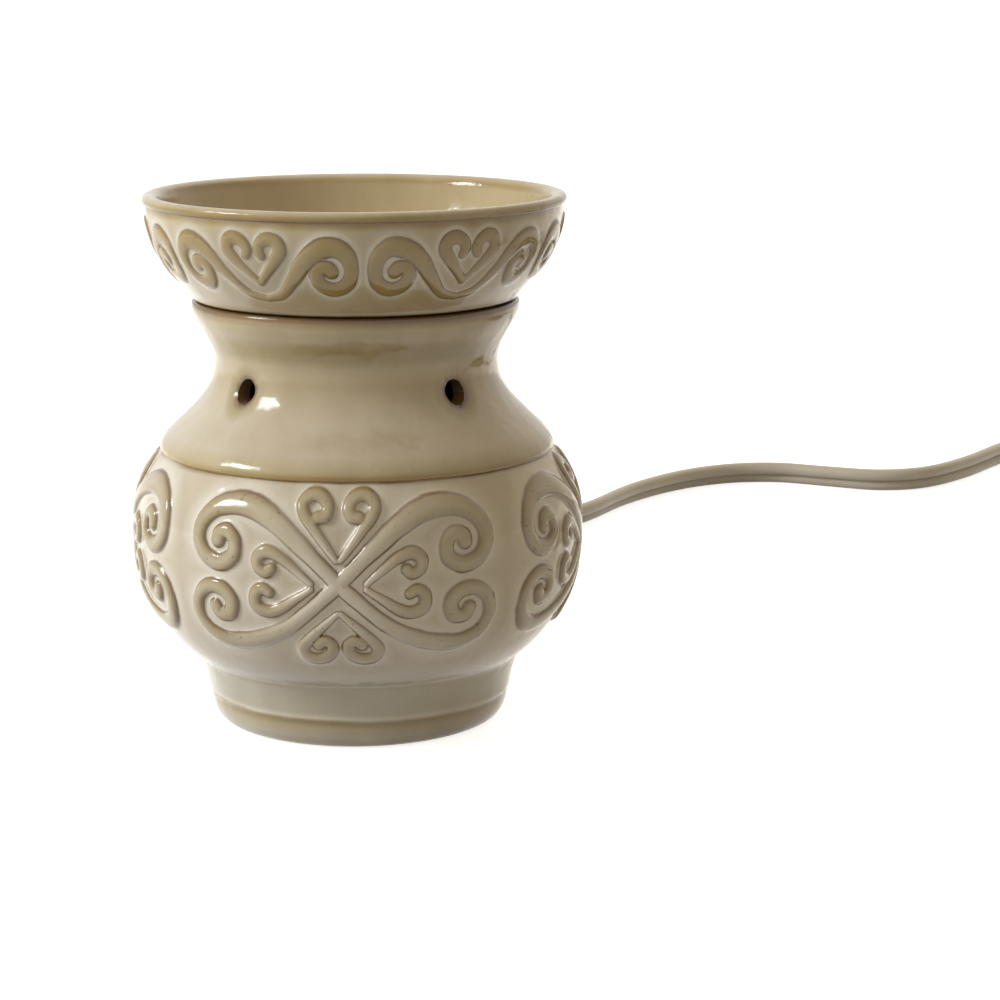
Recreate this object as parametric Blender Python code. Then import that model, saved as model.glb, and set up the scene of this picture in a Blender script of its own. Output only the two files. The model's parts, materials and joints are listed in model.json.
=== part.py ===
"""Electric wax warmer: a lift-off dish on a lamp-heated ceramic body, with lamp, wiring, flat cord and plug.

Metres, +Z up. The origin is the middle of the surface that the warmer stands on, and its front faces -Y.
"""

import math

import bmesh
import bpy
import numpy as np
from mathutils import Matrix, Vector, geometry

MM = 0.001
GAP = 0.3 * MM  # between pieces that seat on each other
MERGE = 0.001 * MM
ROUND_STEPS = 40
SMALL_STEPS = 20
SHARP_ANGLE = math.radians(35)

# Ceramic body: stations of the turned outside, from the foot up
FOOT_LIFT = 0.5 * MM
FOOT_CONTACT_RADIUS = 32.5 * MM
FOOT_BEAD_RADIUS = 37.2 * MM
FOOT_BEAD_HEIGHT = 5.6 * MM
FOOT_TOP_RADIUS = 40.2 * MM
FOOT_HEIGHT = 16.4 * MM
BELLY_RADIUS = 54.9 * MM
BELLY_HEIGHT = 49.4 * MM
BAND_TOP_RADIUS = 48.2 * MM
BAND_TOP_HEIGHT = 68.2 * MM
SHOULDER_RADIUS = 48.8 * MM
SHOULDER_EDGE = 0.8 * MM
NECK_RADIUS = 34.9 * MM
NECK_HEIGHT = 90.0 * MM
MOUTH_RADIUS = 40.3 * MM
BODY_HEIGHT = 105.2 * MM
WALL = 4.2 * MM
RIM_WIDTH = 4.1 * MM
RIM_ROUND = 1.4 * MM
MOUTH_DEPTH = 6.0 * MM
FOOT_RING_WIDTH = 5.0 * MM
FLOOR_BOTTOM = 7.0 * MM
FLOOR_THICKNESS = 5.0 * MM
FLOOR_HOLE_RADIUS = 20.0 * MM

# Rows of points up the outside: the ornament's band starts above the plain rows of the belly
FOOT_ROWS = 3
BELLY_LOW_ROWS = 8
BELLY_HIGH_ROWS = 6
BELLY_PLAIN_ROWS = 2

# Holes in the body
VENT_COUNT = 4
VENT_RADIUS = 2.7 * MM
VENT_HEIGHT = 85.6 * MM
VENT_FIRST_ANGLE = math.radians(45)
CORD_HOLE_RADIUS = 6.8 * MM
CORD_HOLE_ABOVE_FLOOR = 2.7 * MM

# Wax dish, which stands on the mouth of the body
DISH_FOOT_RADIUS = 40.0 * MM
DISH_WALL_RADIUS = 51.0 * MM
DISH_RIM_RADIUS = 51.8 * MM
DISH_HEIGHT = 25.5 * MM
DISH_LIP_HEIGHT = 3.2 * MM
DISH_LIP_WIDTH = 2.7 * MM
DISH_FLOOR = 4.6 * MM
DISH_BOWL_RADIUS = 30.0 * MM
SPIGOT_CLEARANCE = 0.8 * MM
SPIGOT_DEPTH = 3.6 * MM
SPIGOT_WIDTH = 4.0 * MM

# Raised ornament: half of each motif, mirrored and repeated round the piece. A point of a stroke is its
# degrees from the motif's axis, its height in percent of the band and half its width in millimetres
ORNAMENT_SPACING = 1.1 * MM  # least distance between points of the ornament's surface
GROUND_SPACING = 2.6 * MM  # and between these and points of the ground
STROKE_EDGE = 1.15  # where a stroke's side meets the ground, in half widths
GROUND_CLEARANCE = 1.5  # how near a stroke the ground has points, in half widths
BELLY_MOTIFS = 4
BELLY_TURN = math.radians(-1.4)
BELLY_RELIEF = 1.25 * MM
BELLY_UPPER_SCROLL = (
    (0, 48, 1.3), (5.5, 60, 1.7), (10.2, 70, 2.2), (15.8, 80, 2.5), (21.7, 86, 2.7), (27.3, 88, 2.6),
    (32.8, 85, 2.4), (36.5, 78, 2.2), (37.3, 68, 2.1), (35.1, 59, 2.1), (30.7, 56, 2.1), (27.1, 60.5, 1.9),
    (26.8, 68, 1.7), (30, 72, 1.2),
)
BELLY_LOWER_SCROLL = (
    (0, 48, 1.3), (6.8, 34, 1.5), (12.4, 23.5, 1.8), (18.8, 15, 2.1), (25.6, 9.5, 2.2), (32.4, 9, 2.2),
    (37.7, 14.5, 2.1), (39.9, 24.5, 1.9), (39, 35, 1.8), (35.2, 42, 1.8), (30.8, 41.5, 1.9), (28, 36, 2.1),
    (29.5, 28, 1.6),
)
BELLY_TOP_HEART = (
    (0, 59.5, 0.7), (3, 68, 1.2), (6, 77, 1.5), (8.6, 85, 1.6), (9.2, 91, 1.6), (7.2, 94.5, 1.6),
    (4.5, 94, 1.6), (2.7, 89.5, 1.6), (4.4, 84, 1.4),
)
BELLY_BOTTOM_HEART = (
    (0, 33, 0.7), (4.3, 24.5, 1.2), (7.9, 17, 1.5), (9.7, 11, 1.7), (8.7, 5.5, 1.7), (5.3, 4.5, 1.6),
    (2.5, 8, 1.6), (3.4, 14.5, 1.5),
)
BELLY_SIDE_HEART_UPPER = (
    (6.5, 48.5, 0.6), (10.2, 55.5, 1.3), (14.1, 62, 1.6), (17.8, 64.5, 1.7), (20.2, 61, 1.6),
    (19.9, 55.5, 1.5), (17.3, 54.5, 1.2),
)
BELLY_SIDE_HEART_LOWER = (
    (6.5, 45.5, 0.6), (10.2, 39.5, 1.3), (14.5, 33.5, 1.6), (17.9, 31.5, 1.6), (20.8, 34.5, 1.7),
    (21, 40.5, 1.6), (18, 43.5, 1.3),
)
BELLY_STROKES = (
    BELLY_UPPER_SCROLL, BELLY_LOWER_SCROLL, BELLY_TOP_HEART, BELLY_BOTTOM_HEART,
    BELLY_SIDE_HEART_UPPER, BELLY_SIDE_HEART_LOWER,
)
DISH_STEPS = 36
DISH_MOTIFS = 6
DISH_TURN = math.radians(5.6)
DISH_RELIEF = 1.0 * MM
DISH_SCROLL = (
    (0, 14.5, 0.6), (5.7, 20.5, 0.9), (10.5, 40, 1.4), (13.8, 57.5, 1.8), (17, 70, 2.0), (20.6, 76.5, 2.1),
    (24.5, 75, 1.9), (27.2, 64.5, 1.7), (28, 50, 1.5), (27.2, 34.5, 1.5), (24.5, 25.5, 1.6), (21.1, 24, 1.6),
    (18, 30, 1.6), (16.6, 41.5, 1.6), (19, 53.5, 1.2),
)
DISH_HEART = (
    (0, 31, 0.6), (3.2, 45.5, 1.1), (5.8, 59.5, 1.4), (7.5, 71, 1.7), (6.7, 80.5, 1.7), (4.6, 82.5, 1.7),
    (2.6, 74, 1.5), (2.8, 63.5, 1.1),
)
DISH_STROKES = (DISH_SCROLL, DISH_HEART)

# Pads in the foot
PAD_COUNT = 4
PAD_RADIUS = 1.9 * MM
PAD_HEIGHT = 1.7 * MM

# Lamp holder stack on the floor
PLATE_THICKNESS = 1.2 * MM
PLATE_EDGE_CLEARANCE = 1.4 * MM
NIPPLE_RADIUS = 4.0 * MM
NIPPLE_BORE = 2.6 * MM
NIPPLE_BELOW_NUT = 0.6 * MM
NIPPLE_GRIP = 4.0 * MM
NUT_ACROSS_FLATS = 13.0 * MM
NUT_THICKNESS = 2.4 * MM
BRIDGE_BEARING = 7.0 * MM
BRIDGE_WIDTH = 16.0 * MM
BRIDGE_CORNER = 4.0 * MM
BRIDGE_THICKNESS = 1.5 * MM
SOCKET_HEIGHT = 27.0 * MM
SOCKET_BASE = 8.5 * MM
SOCKET_WALL = 3.2 * MM
SHELL_WALL = 0.7 * MM
SHELL_BELOW_RIM = 0.8 * MM
CONTACT_RADIUS = 4.0 * MM
CONTACT_THICKNESS = 1.0 * MM
TERMINAL_RADIUS = 2.6 * MM
TERMINAL_LENGTH = 1.8 * MM
TERMINAL_ABOVE_BASE = 4.0 * MM

# Lamp with a screw cap
CAP_RADIUS = 8.3 * MM
CAP_HEIGHT = 15.0 * MM
CAP_WALL = 0.5 * MM
CAP_THREADS = 4
CAP_THREAD_DEPTH = 0.4 * MM
CAP_CLEARANCE = 0.4 * MM
TIP_RADIUS = 2.6 * MM
TIP_HEIGHT = 1.0 * MM
INSULATOR_HEIGHT = 2.4 * MM
INSULATOR_BORDER = 0.8 * MM
GLASS_RADIUS = 17.5 * MM
GLASS_HEIGHT = 48.0 * MM
GLASS_WIDEST = 27.0 * MM
GLASS_WALL = 0.8 * MM
GLASS_IN_CAP = 4.0 * MM
STEM_RADIUS = 2.4 * MM
STEM_HEIGHT = 20.0 * MM
STEM_FLARE = 1.4 * MM
FILAMENT_WIRE = 0.5 * MM
FILAMENT_SPAN = 15.0 * MM
FILAMENT_RISE = 8.0 * MM
FILAMENT_FEET = 2.6 * MM

# Flat twin cord: its width is the tube's diameter here
CORD_DIAMETER = 8.4 * MM
CORD_POINT_STEP = 13.0 * MM
CORD_CORES_APART = 4.2 * MM
WIRE_DIAMETER = 2.8 * MM
WIRE_POINT_STEP = 5.0 * MM
RELIEF_HEAD_RADIUS = 7.6 * MM
RELIEF_HEAD_LENGTH = 2.4 * MM
RELIEF_HEAD_CLEARANCE = 0.6 * MM
RELIEF_PROUD = 1.0 * MM
RELIEF_TAPER_LENGTH = 24.0 * MM
RELIEF_TIP_WALL = 0.8 * MM

# Switch on the cord, in its own frame: X along the cord, from the warmer to the plug
SWITCH_PLACE = Vector((0.2935, 0.262, 0.0))
SWITCH_HEADING = math.radians(-90)
SWITCH_LENGTH = 58.0 * MM
SWITCH_WIDTH = 24.0 * MM
SWITCH_SPLIT = 11.5 * MM
SWITCH_HEIGHT = 16.2 * MM
SWITCH_CORNER = 10.5 * MM
SWITCH_EDGE = 1.8 * MM
SWITCH_WALL = 2.2 * MM
SWITCH_SOLID_END = 13.0 * MM
WHEEL_RADIUS = 6.6 * MM
WHEEL_WIDTH = 6.0 * MM
WHEEL_RIBS = 18
WHEEL_RIB_DEPTH = 0.5 * MM
WHEEL_CLEARANCE = 0.6 * MM
AXLE_RADIUS = 1.3 * MM
AXLE_SEAT = 1.3 * MM
SCREW_SHANK = 1.2 * MM
SCREW_HEAD = 2.4 * MM
SCREW_HEAD_HEIGHT = 1.8 * MM
SCREW_TOP_COVER = 1.6 * MM
SCREW_OFFSET = 6.5 * MM
SCREW_FROM_END = 9.0 * MM
LEAF_WIDTH = 5.0 * MM
LEAF_THICKNESS = 0.6 * MM
LEAF_LENGTH = 7.0 * MM
LEAF_RISE = 4.0 * MM

# Put-away coil beside the cord's way out of view, and its tie
COIL_PLACE = Vector((0.247, 0.125, 0.0))
COIL_PITCH = 9.0 * MM
COIL_INNER_RADIUS = 36.5 * MM
COIL_TURNS_IN = 2.0
COIL_TURNS_OUT = 1.5
COIL_LOOP_POINTS = 24
TIE_ANGLE = math.radians(-90)
TIE_WIDTH = 8.0 * MM
TIE_THICKNESS = 1.0 * MM
TIE_CLEARANCE = 0.6 * MM
TIE_CORNER = 3.0 * MM

# Two-blade plug, in its own frame: X towards the blades
PLUG_PLACE = Vector((0.2935, 0.036, 0.0))
PLUG_HEADING = math.radians(-92)
PLUG_LENGTH = 38.0 * MM
PLUG_HALF_WIDTH = 12.5 * MM
PLUG_HALF_HEIGHT = 7.0 * MM
PLUG_TAIL_LENGTH = 16.0 * MM
PLUG_TAIL_WALL = 1.0 * MM
PLUG_SHOULDER = 7.0 * MM
PLUG_EDGE = 1.2 * MM
BLADE_LENGTH = 17.0 * MM
BLADE_THICKNESS = 1.5 * MM
BLADE_SPACING = 12.7 * MM
BLADE_LIVE_HEIGHT = 6.3 * MM
BLADE_NEUTRAL_HEIGHT = 7.9 * MM
BLADE_TIP = 1.6 * MM

# Sizes that follow from the ones above
FLOOR_TOP = FLOOR_BOTTOM + FLOOR_THICKNESS
RING_BORE = FOOT_CONTACT_RADIUS - FOOT_RING_WIDTH
PAD_CIRCLE = FOOT_CONTACT_RADIUS - FOOT_RING_WIDTH / 2
MOUTH_BORE = MOUTH_RADIUS - RIM_WIDTH
BAND_FIRST_POINT = FOOT_ROWS + 1 + BELLY_PLAIN_ROWS
BAND_ROWS = BELLY_LOW_ROWS - BELLY_PLAIN_ROWS + BELLY_HIGH_ROWS
DISH_SEAT = BODY_HEIGHT + GAP
CORD_HOLE_HEIGHT = FLOOR_TOP + CORD_HOLE_ABOVE_FLOOR + CORD_HOLE_RADIUS
RELIEF_RADIUS = CORD_HOLE_RADIUS - GAP
RELIEF_TIP_RADIUS = CORD_DIAMETER / 2 + RELIEF_TIP_WALL
PLATE_TOP = FLOOR_BOTTOM - GAP
PLATE_BOTTOM = PLATE_TOP - PLATE_THICKNESS
LOWER_NUT_BOTTOM = PLATE_BOTTOM - GAP - NUT_THICKNESS
BRIDGE_BOTTOM = FLOOR_TOP + GAP
UPPER_NUT_BOTTOM = BRIDGE_BOTTOM + BRIDGE_THICKNESS + GAP
SOCKET_BOTTOM = UPPER_NUT_BOTTOM + NUT_THICKNESS + GAP
SOCKET_TOP = SOCKET_BOTTOM + SOCKET_HEIGHT
SOCKET_FLOOR = SOCKET_BOTTOM + SOCKET_BASE
SHELL_BORE = CAP_RADIUS + CAP_CLEARANCE
SOCKET_BORE = SHELL_BORE + SHELL_WALL + GAP
SOCKET_RADIUS = SOCKET_BORE + SOCKET_WALL
TERMINAL_HEIGHT = SOCKET_BOTTOM + TERMINAL_ABOVE_BASE
CONTACT_BOTTOM = SOCKET_FLOOR + GAP
TIP_BOTTOM = CONTACT_BOTTOM + CONTACT_THICKNESS + GAP
INSULATOR_BOTTOM = TIP_BOTTOM + TIP_HEIGHT + GAP
CAP_BOTTOM = INSULATOR_BOTTOM + INSULATOR_HEIGHT + GAP
CAP_TOP = CAP_BOTTOM + CAP_HEIGHT
CAP_BORE = CAP_RADIUS - CAP_THREAD_DEPTH - CAP_WALL
GLASS_BOTTOM = CAP_TOP - GLASS_IN_CAP
GLASS_NECK = CAP_BORE - GAP
STEM_BOTTOM = GLASS_BOTTOM + GAP
STEM_TOP = STEM_BOTTOM + STEM_HEIGHT
CORD_ON_TABLE = CORD_DIAMETER / 2 + GAP
COIL_BOTTOM = CORD_DIAMETER / 2 + TIE_THICKNESS + 2 * GAP
COIL_TOP = COIL_BOTTOM + COIL_PITCH
COIL_OUTER_RADIUS = COIL_INNER_RADIUS + COIL_PITCH * COIL_TURNS_IN
SWITCH_BOTTOM = GAP
SWITCH_ENTRY = (SWITCH_BOTTOM + SWITCH_SPLIT) / 2
PLUG_AXIS = PLUG_HALF_HEIGHT + GAP

# The cord's way over the table, chosen by hand: behind the body, to the right and round to the switch
LEAD_ROUTE = (
    (0.0022, 0.1080, 0.0165),
    (0.0080, 0.1300, 0.0105),
    (0.0170, 0.1520, 0.0062),
    (0.0290, 0.1745, CORD_ON_TABLE),
    (0.0440, 0.1955, CORD_ON_TABLE),
    (0.0614, 0.2164, CORD_ON_TABLE),
    (0.0775, 0.2470, CORD_ON_TABLE),
    (0.0955, 0.2700, CORD_ON_TABLE),
    (0.1140, 0.2825, CORD_ON_TABLE),
    (0.1320, 0.2845, CORD_ON_TABLE),
    (0.1490, 0.2775, CORD_ON_TABLE),
    (0.1660, 0.2710, CORD_ON_TABLE),
    (0.1830, 0.2755, CORD_ON_TABLE),
    (0.2000, 0.2935, CORD_ON_TABLE),
    (0.2170, 0.3195, CORD_ON_TABLE),
    (0.2350, 0.3440, CORD_ON_TABLE),
    (0.2575, 0.3560, CORD_ON_TABLE),
    (0.2790, 0.3480, CORD_ON_TABLE),
    (0.2910, 0.3270, CORD_ON_TABLE),
)


def clear_scene():
    for obj in list(bpy.data.objects):
        bpy.data.objects.remove(obj, do_unlink=True)


def finish(name, colour, roughness, metallic=0.0):
    """A plain material of one colour."""
    material = bpy.data.materials.new(name)
    material.use_nodes = True
    shader = material.node_tree.nodes["Principled BSDF"]
    shader.inputs["Base Color"].default_value = (*colour, 1.0)
    shader.inputs["Roughness"].default_value = roughness
    shader.inputs["Metallic"].default_value = metallic
    material.diffuse_color = (*colour, 1.0)
    return material


def add_object(name, bm, material):
    """The mesh as a named object, its faces pointing out and its round faces shaded smooth."""
    bmesh.ops.remove_doubles(bm, verts=bm.verts, dist=MERGE)
    bmesh.ops.recalc_face_normals(bm, faces=bm.faces)
    mesh = bpy.data.meshes.new(name)
    bm.to_mesh(mesh)
    bm.free()
    mesh.materials.append(material)
    mesh.shade_smooth()
    mesh.set_sharp_from_angle(angle=SHARP_ANGLE)
    obj = bpy.data.objects.new(name, mesh)
    bpy.context.collection.objects.link(obj)
    return obj


def bezier(start, start_handle, end_handle, end, count):
    """Points of a cubic curve from start to end, both included."""
    points = []
    for i in range(count + 1):
        t = i / count
        weights = ((1 - t) ** 3, 3 * t * (1 - t) ** 2, 3 * t * t * (1 - t), t**3)
        corners = (start, start_handle, end_handle, end)
        points.append(tuple(sum(w * c[k] for w, c in zip(weights, corners)) for k in (0, 1)))
    return points


def levelling(start, end, power, count):
    """(radius, height) points whose radius changes fast at the start and levels off at the end."""
    points = []
    for i in range(count + 1):
        t = i / count
        share = 1 - (1 - t) ** power
        points.append((start[0] + (end[0] - start[0]) * share, start[1] + (end[1] - start[1]) * t))
    return points


def offset_inwards(points, distance):
    """A rising line of points moved towards the axis, at right angles to itself."""
    moved = []
    for i, (radius, height) in enumerate(points):
        before, after = points[max(i - 1, 0)], points[min(i + 1, len(points) - 1)]
        along = (after[0] - before[0], after[1] - before[1])
        length = math.hypot(*along)
        moved.append((radius - distance * along[1] / length, height + distance * along[0] / length))
    return moved


def radius_at(points, height):
    """The radius of a rising line of points at a height."""
    for (r0, z0), (r1, z1) in zip(points, points[1:]):
        if z0 <= height <= z1:
            return r0 + (r1 - r0) * (height - z0) / (z1 - z0)
    raise ValueError("the line doesn't reach this height")


def turned(name, profile, material, steps=ROUND_STEPS, band_after=None, band=()):
    """A solid turned about Z from (radius, height) points: a ring unless both ends lie on the axis.

    Where a band of triangles is given, it takes the place of the turned face after one of the points.
    """
    bm = bmesh.new()
    verts = [bm.verts.new((radius, 0, height)) for radius, height in profile]
    on_axis = profile[0][0] == 0 and profile[-1][0] == 0
    loop = verts if on_axis else [*verts, verts[0]]
    edges = [bm.edges.new(pair) for i, pair in enumerate(zip(loop, loop[1:])) if i != band_after]
    bmesh.ops.spin(
        bm, geom=[*verts, *edges], cent=(0, 0, 0), axis=(0, 0, 1), angle=math.tau, steps=steps, use_merge=True
    )
    for corners in band:
        bm.faces.new([bm.verts.new(corner) for corner in corners])
    return add_object(name, bm, material)


def across_strokes(place, strokes):
    """How far a flat place lies from the middle of the nearest stroke, in half widths of it."""
    nearest = math.inf
    for stroke in strokes:
        for start, end in zip(stroke, stroke[1:]):
            along, out = end[:2] - start[:2], place - start[:2]
            share = min(max(out.dot(along) / along.dot(along), 0), 1)
            half_width = start[2] + (end[2] - start[2]) * share
            nearest = min(nearest, np.linalg.norm(out - along * share) / half_width)
    return nearest


def flat_ornament(outline, strokes, reach, columns):
    """Half a motif laid out flat: its points and the triangles between them, with edges along each crest."""
    bottom, top = outline[0][1], outline[-1][1]
    points = []

    def point_at(place, spacing=ORNAMENT_SPACING):
        """The number of the point at a place, or of one that is nearer to it than the spacing."""
        for i, point in enumerate(points):
            if np.linalg.norm(point - place) < spacing:
                return i
        points.append(np.array(place, float))
        return len(points) - 1

    edges = []
    for i in range(columns + 1):
        for height in (bottom, top):
            point_at((reach * i / columns, height))
    for stroke in strokes:
        crest = [point_at(station[:2]) for station in stroke]
        edges += [pair for pair in zip(crest, crest[1:]) if pair[0] != pair[1]]
    for stroke in strokes:
        headings = np.gradient(stroke[:, :2], axis=0)
        for (*middle, half_width), heading in zip(stroke, headings):
            side = np.array((-heading[1], heading[0])) / np.linalg.norm(heading)
            for sign in (-1, 1):
                foot = np.array(middle) + sign * STROKE_EDGE * half_width * side
                inside = ORNAMENT_SPACING < foot[0] < reach - ORNAMENT_SPACING and bottom < foot[1] < top
                if inside and across_strokes(foot, strokes) > 0.98 * STROKE_EDGE:
                    point_at(foot)
    for i in range(columns + 1):
        for _, height in outline[1:-1]:
            place = np.array((reach * i / columns, height))
            if across_strokes(place, strokes) > GROUND_CLEARANCE:
                point_at(place, GROUND_SPACING)
    flat = [Vector(point / MM) for point in points]
    corners, _, triangles, *_ = geometry.delaunay_2d_cdt(flat, edges, [], 0, ORNAMENT_SPACING / MM / 1000)
    return [np.array(corner) * MM for corner in corners], triangles


def relief_band(outline, strokes, motifs, steps, relief, hole=None):
    """Triangles of a turned band with strokes raised on it, each motif mirrored and repeated round the axis.

    The outline is the band's (radius, height) points from its bottom to its top. The ornament fades out
    round a hole, which is given by its angle, height and radius.
    """
    bottom, top = outline[0][1], outline[-1][1]
    widest = max(radius for radius, _ in outline)
    reach = math.pi / motifs * widest
    laid = []
    for stroke in strokes:
        stations = []
        for degrees, percent, half_width in stroke:
            height = bottom + (top - bottom) * percent / 100
            stations.append((math.radians(degrees) * widest, height, half_width * MM))
        laid.append(np.array(stations))
    corners, triangles = flat_ornament(outline, laid, reach, steps // (2 * motifs))
    heights = [max(1 - across_strokes(corner, laid) / STROKE_EDGE, 0) * relief for corner in corners]
    band = []
    for motif in range(motifs):
        for side in (1, -1):
            raised = []
            for (across, height), lift in zip(corners, heights):
                angle = 2 * math.pi / motifs * motif + side * across / widest
                radius = radius_at(outline, min(max(height, bottom), top))
                if hole:
                    from_hole = math.hypot(radius * (angle - hole[0]), height - hole[1])
                    lift *= min(max(from_hole / hole[2] - 1, 0), 1)
                raised.append(((radius + lift) * math.cos(angle), (radius + lift) * math.sin(angle), height))
            band += [[raised[i] for i in triangle] for triangle in triangles]
    return band


def disc(name, radius, bottom, top, material, steps=SMALL_STEPS):
    return turned(name, [(0, bottom), (radius, bottom), (radius, top), (0, top)], material, steps)


def ring(name, bore, radius, bottom, top, material, steps=SMALL_STEPS):
    profile = [(bore, bottom), (radius, bottom), (radius, top), (bore, top)]
    return turned(name, profile, material, steps)


def skin(name, sections, material, bores=None):
    """A closed skin over loops of points, with its ends filled, or open as a hole where bores are given."""
    bm = bmesh.new()
    outer = [[bm.verts.new(p) for p in section] for section in sections]
    inner = [[bm.verts.new(p) for p in bore] for bore in bores or ()]
    for loops in (outer, inner):
        for low, high in zip(loops, loops[1:]):
            for i in range(len(low)):
                j = (i + 1) % len(low)
                bm.faces.new((low[i], low[j], high[j], high[i]))
    for end in (0, -1):
        if not inner:
            bm.faces.new(outer[end])
            continue
        for i in range(len(outer[end])):
            j = (i + 1) % len(outer[end])
            bm.faces.new((outer[end][i], outer[end][j], inner[end][j], inner[end][i]))
    return add_object(name, bm, material)


def prism(name, outline, bottom, top, material, bore=None):
    """An outline of (x, y) points raised from bottom to top, with a hole if a bore of as many is given."""
    sections = [[(x, y, z) for x, y in outline] for z in (bottom, top)]
    bores = [[(x, y, z) for x, y in bore] for z in (bottom, top)] if bore else None
    return skin(name, sections, material, bores)


def circle_outline(radius, count):
    angles = [math.tau * i / count for i in range(count)]
    return [(radius * math.cos(a), radius * math.sin(a)) for a in angles]


def hexagon_outline(across_flats, per_side=4):
    """A hexagon with points along its sides at even angles."""
    points = []
    for i in range(6 * per_side):
        angle = math.tau * i / (6 * per_side)
        from_flat = (angle + math.pi / 6) % (math.pi / 3) - math.pi / 6
        reach = across_flats / 2 / math.cos(from_flat)
        points.append((reach * math.cos(angle), reach * math.sin(angle)))
    return points


def rounded_outline(length, width, corner, per_corner=5):
    """A rectangle with round corners about the origin."""
    points = []
    for k, (side_x, side_y) in enumerate(((1, 1), (-1, 1), (-1, -1), (1, -1))):
        for i in range(per_corner + 1):
            angle = math.pi / 2 * (k + i / per_corner)
            x = side_x * (length / 2 - corner) + corner * math.cos(angle)
            points.append((x, side_y * (width / 2 - corner) + corner * math.sin(angle)))
    return points


def smooth_points(route, step):
    """Even points along a smooth curve through the route's own points."""
    ends = [2 * route[0] - route[1], *route, 2 * route[-1] - route[-2]]
    fine = []
    for before, start, end, after in zip(ends, ends[1:], ends[2:], ends[3:]):
        for i in range(24):
            t = i / 24
            bend = 2 * before - 5 * start + 4 * end - after
            twist = 3 * (start - end) + after - before
            fine.append(0.5 * (2 * start + (end - before) * t + bend * t * t + twist * t**3))
    fine.append(route[-1])
    line = np.array([tuple(p) for p in fine])
    along = np.concatenate([[0], np.cumsum(np.linalg.norm(np.diff(line, axis=0), axis=1))])
    at = np.linspace(0, along[-1], round(along[-1] / step) + 1)
    return [Vector([np.interp(d, along, line[:, k]) for k in range(3)]) for d in at]


def tube(name, points, diameter, material, resolution=2):
    """A round tube with filled ends along the points."""
    curve = bpy.data.curves.new(name, "CURVE")
    curve.dimensions = "3D"
    curve.bevel_depth = diameter / 2
    curve.bevel_resolution = resolution
    curve.use_fill_caps = True
    spline = curve.splines.new("POLY")
    spline.points.add(len(points) - 1)
    for target, point in zip(spline.points, points):
        target.co = (*point, 1.0)
    curve.materials.append(material)
    obj = bpy.data.objects.new(name, curve)
    bpy.context.collection.objects.link(obj)
    return obj


def cut(cutter, *targets):
    """Takes the cutter's space out of the targets."""
    cutter.hide_render = True
    cutter.display_type = "WIRE"
    for target in targets:
        modifier = target.modifiers.new(cutter.name, "BOOLEAN")
        modifier.operation = "DIFFERENCE"
        modifier.solver = "EXACT"
        modifier.object = cutter


def frame_empty(name, place, heading=0.0, parent=None):
    empty = bpy.data.objects.new(name, None)
    empty.location = place
    empty.rotation_euler.z = heading
    empty.parent = parent
    bpy.context.collection.objects.link(empty)
    return empty


def body_outside():
    """Points up the outside of the body, from the foot to the mouth."""
    contact = (FOOT_CONTACT_RADIUS, FOOT_LIFT)
    bead = (FOOT_BEAD_RADIUS, FOOT_BEAD_HEIGHT)
    foot_top = (FOOT_TOP_RADIUS, FOOT_HEIGHT)
    belly = (BELLY_RADIUS, BELLY_HEIGHT)
    band_top = (BAND_TOP_RADIUS, BAND_TOP_HEIGHT)
    shoulder = (SHOULDER_RADIUS, BAND_TOP_HEIGHT + SHOULDER_EDGE)
    neck = (NECK_RADIUS, NECK_HEIGHT)
    mouth = (MOUTH_RADIUS, BODY_HEIGHT - RIM_ROUND)
    fall = neck[1] - shoulder[1]
    flare = mouth[1] - neck[1]
    under = (FOOT_BEAD_RADIUS, FOOT_LIFT)
    points = bezier(contact, under, under, bead, FOOT_ROWS)
    points += levelling(foot_top, belly, 2.8, BELLY_LOW_ROWS)
    points += levelling(band_top, belly, 2.4, BELLY_HIGH_ROWS)[-2::-1]
    shoulder_handle = (SHOULDER_RADIUS, shoulder[1] + 0.2 * fall)
    points += bezier(shoulder, shoulder_handle, (NECK_RADIUS, neck[1] - 0.5 * fall), neck, 8)
    neck_handle = (NECK_RADIUS, neck[1] + 0.4 * flare)
    points += bezier(neck, neck_handle, (MOUTH_RADIUS, mouth[1] - 0.25 * flare), mouth, 5)[1:]
    return points


def body_inside(outside):
    """Points up the inside of the body, from the floor to the foot of the mouth's bore."""
    floor_corner = (radius_at(outside, FLOOR_TOP) - WALL, FLOOR_TOP)
    low, high = FLOOR_TOP + WALL, BODY_HEIGHT - MOUTH_DEPTH - RIM_ROUND
    wall = [p for p in offset_inwards(outside, WALL)[::2] if low < p[1] < high]
    return [floor_corner, *wall, (MOUTH_BORE, BODY_HEIGHT - MOUTH_DEPTH)]


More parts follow.
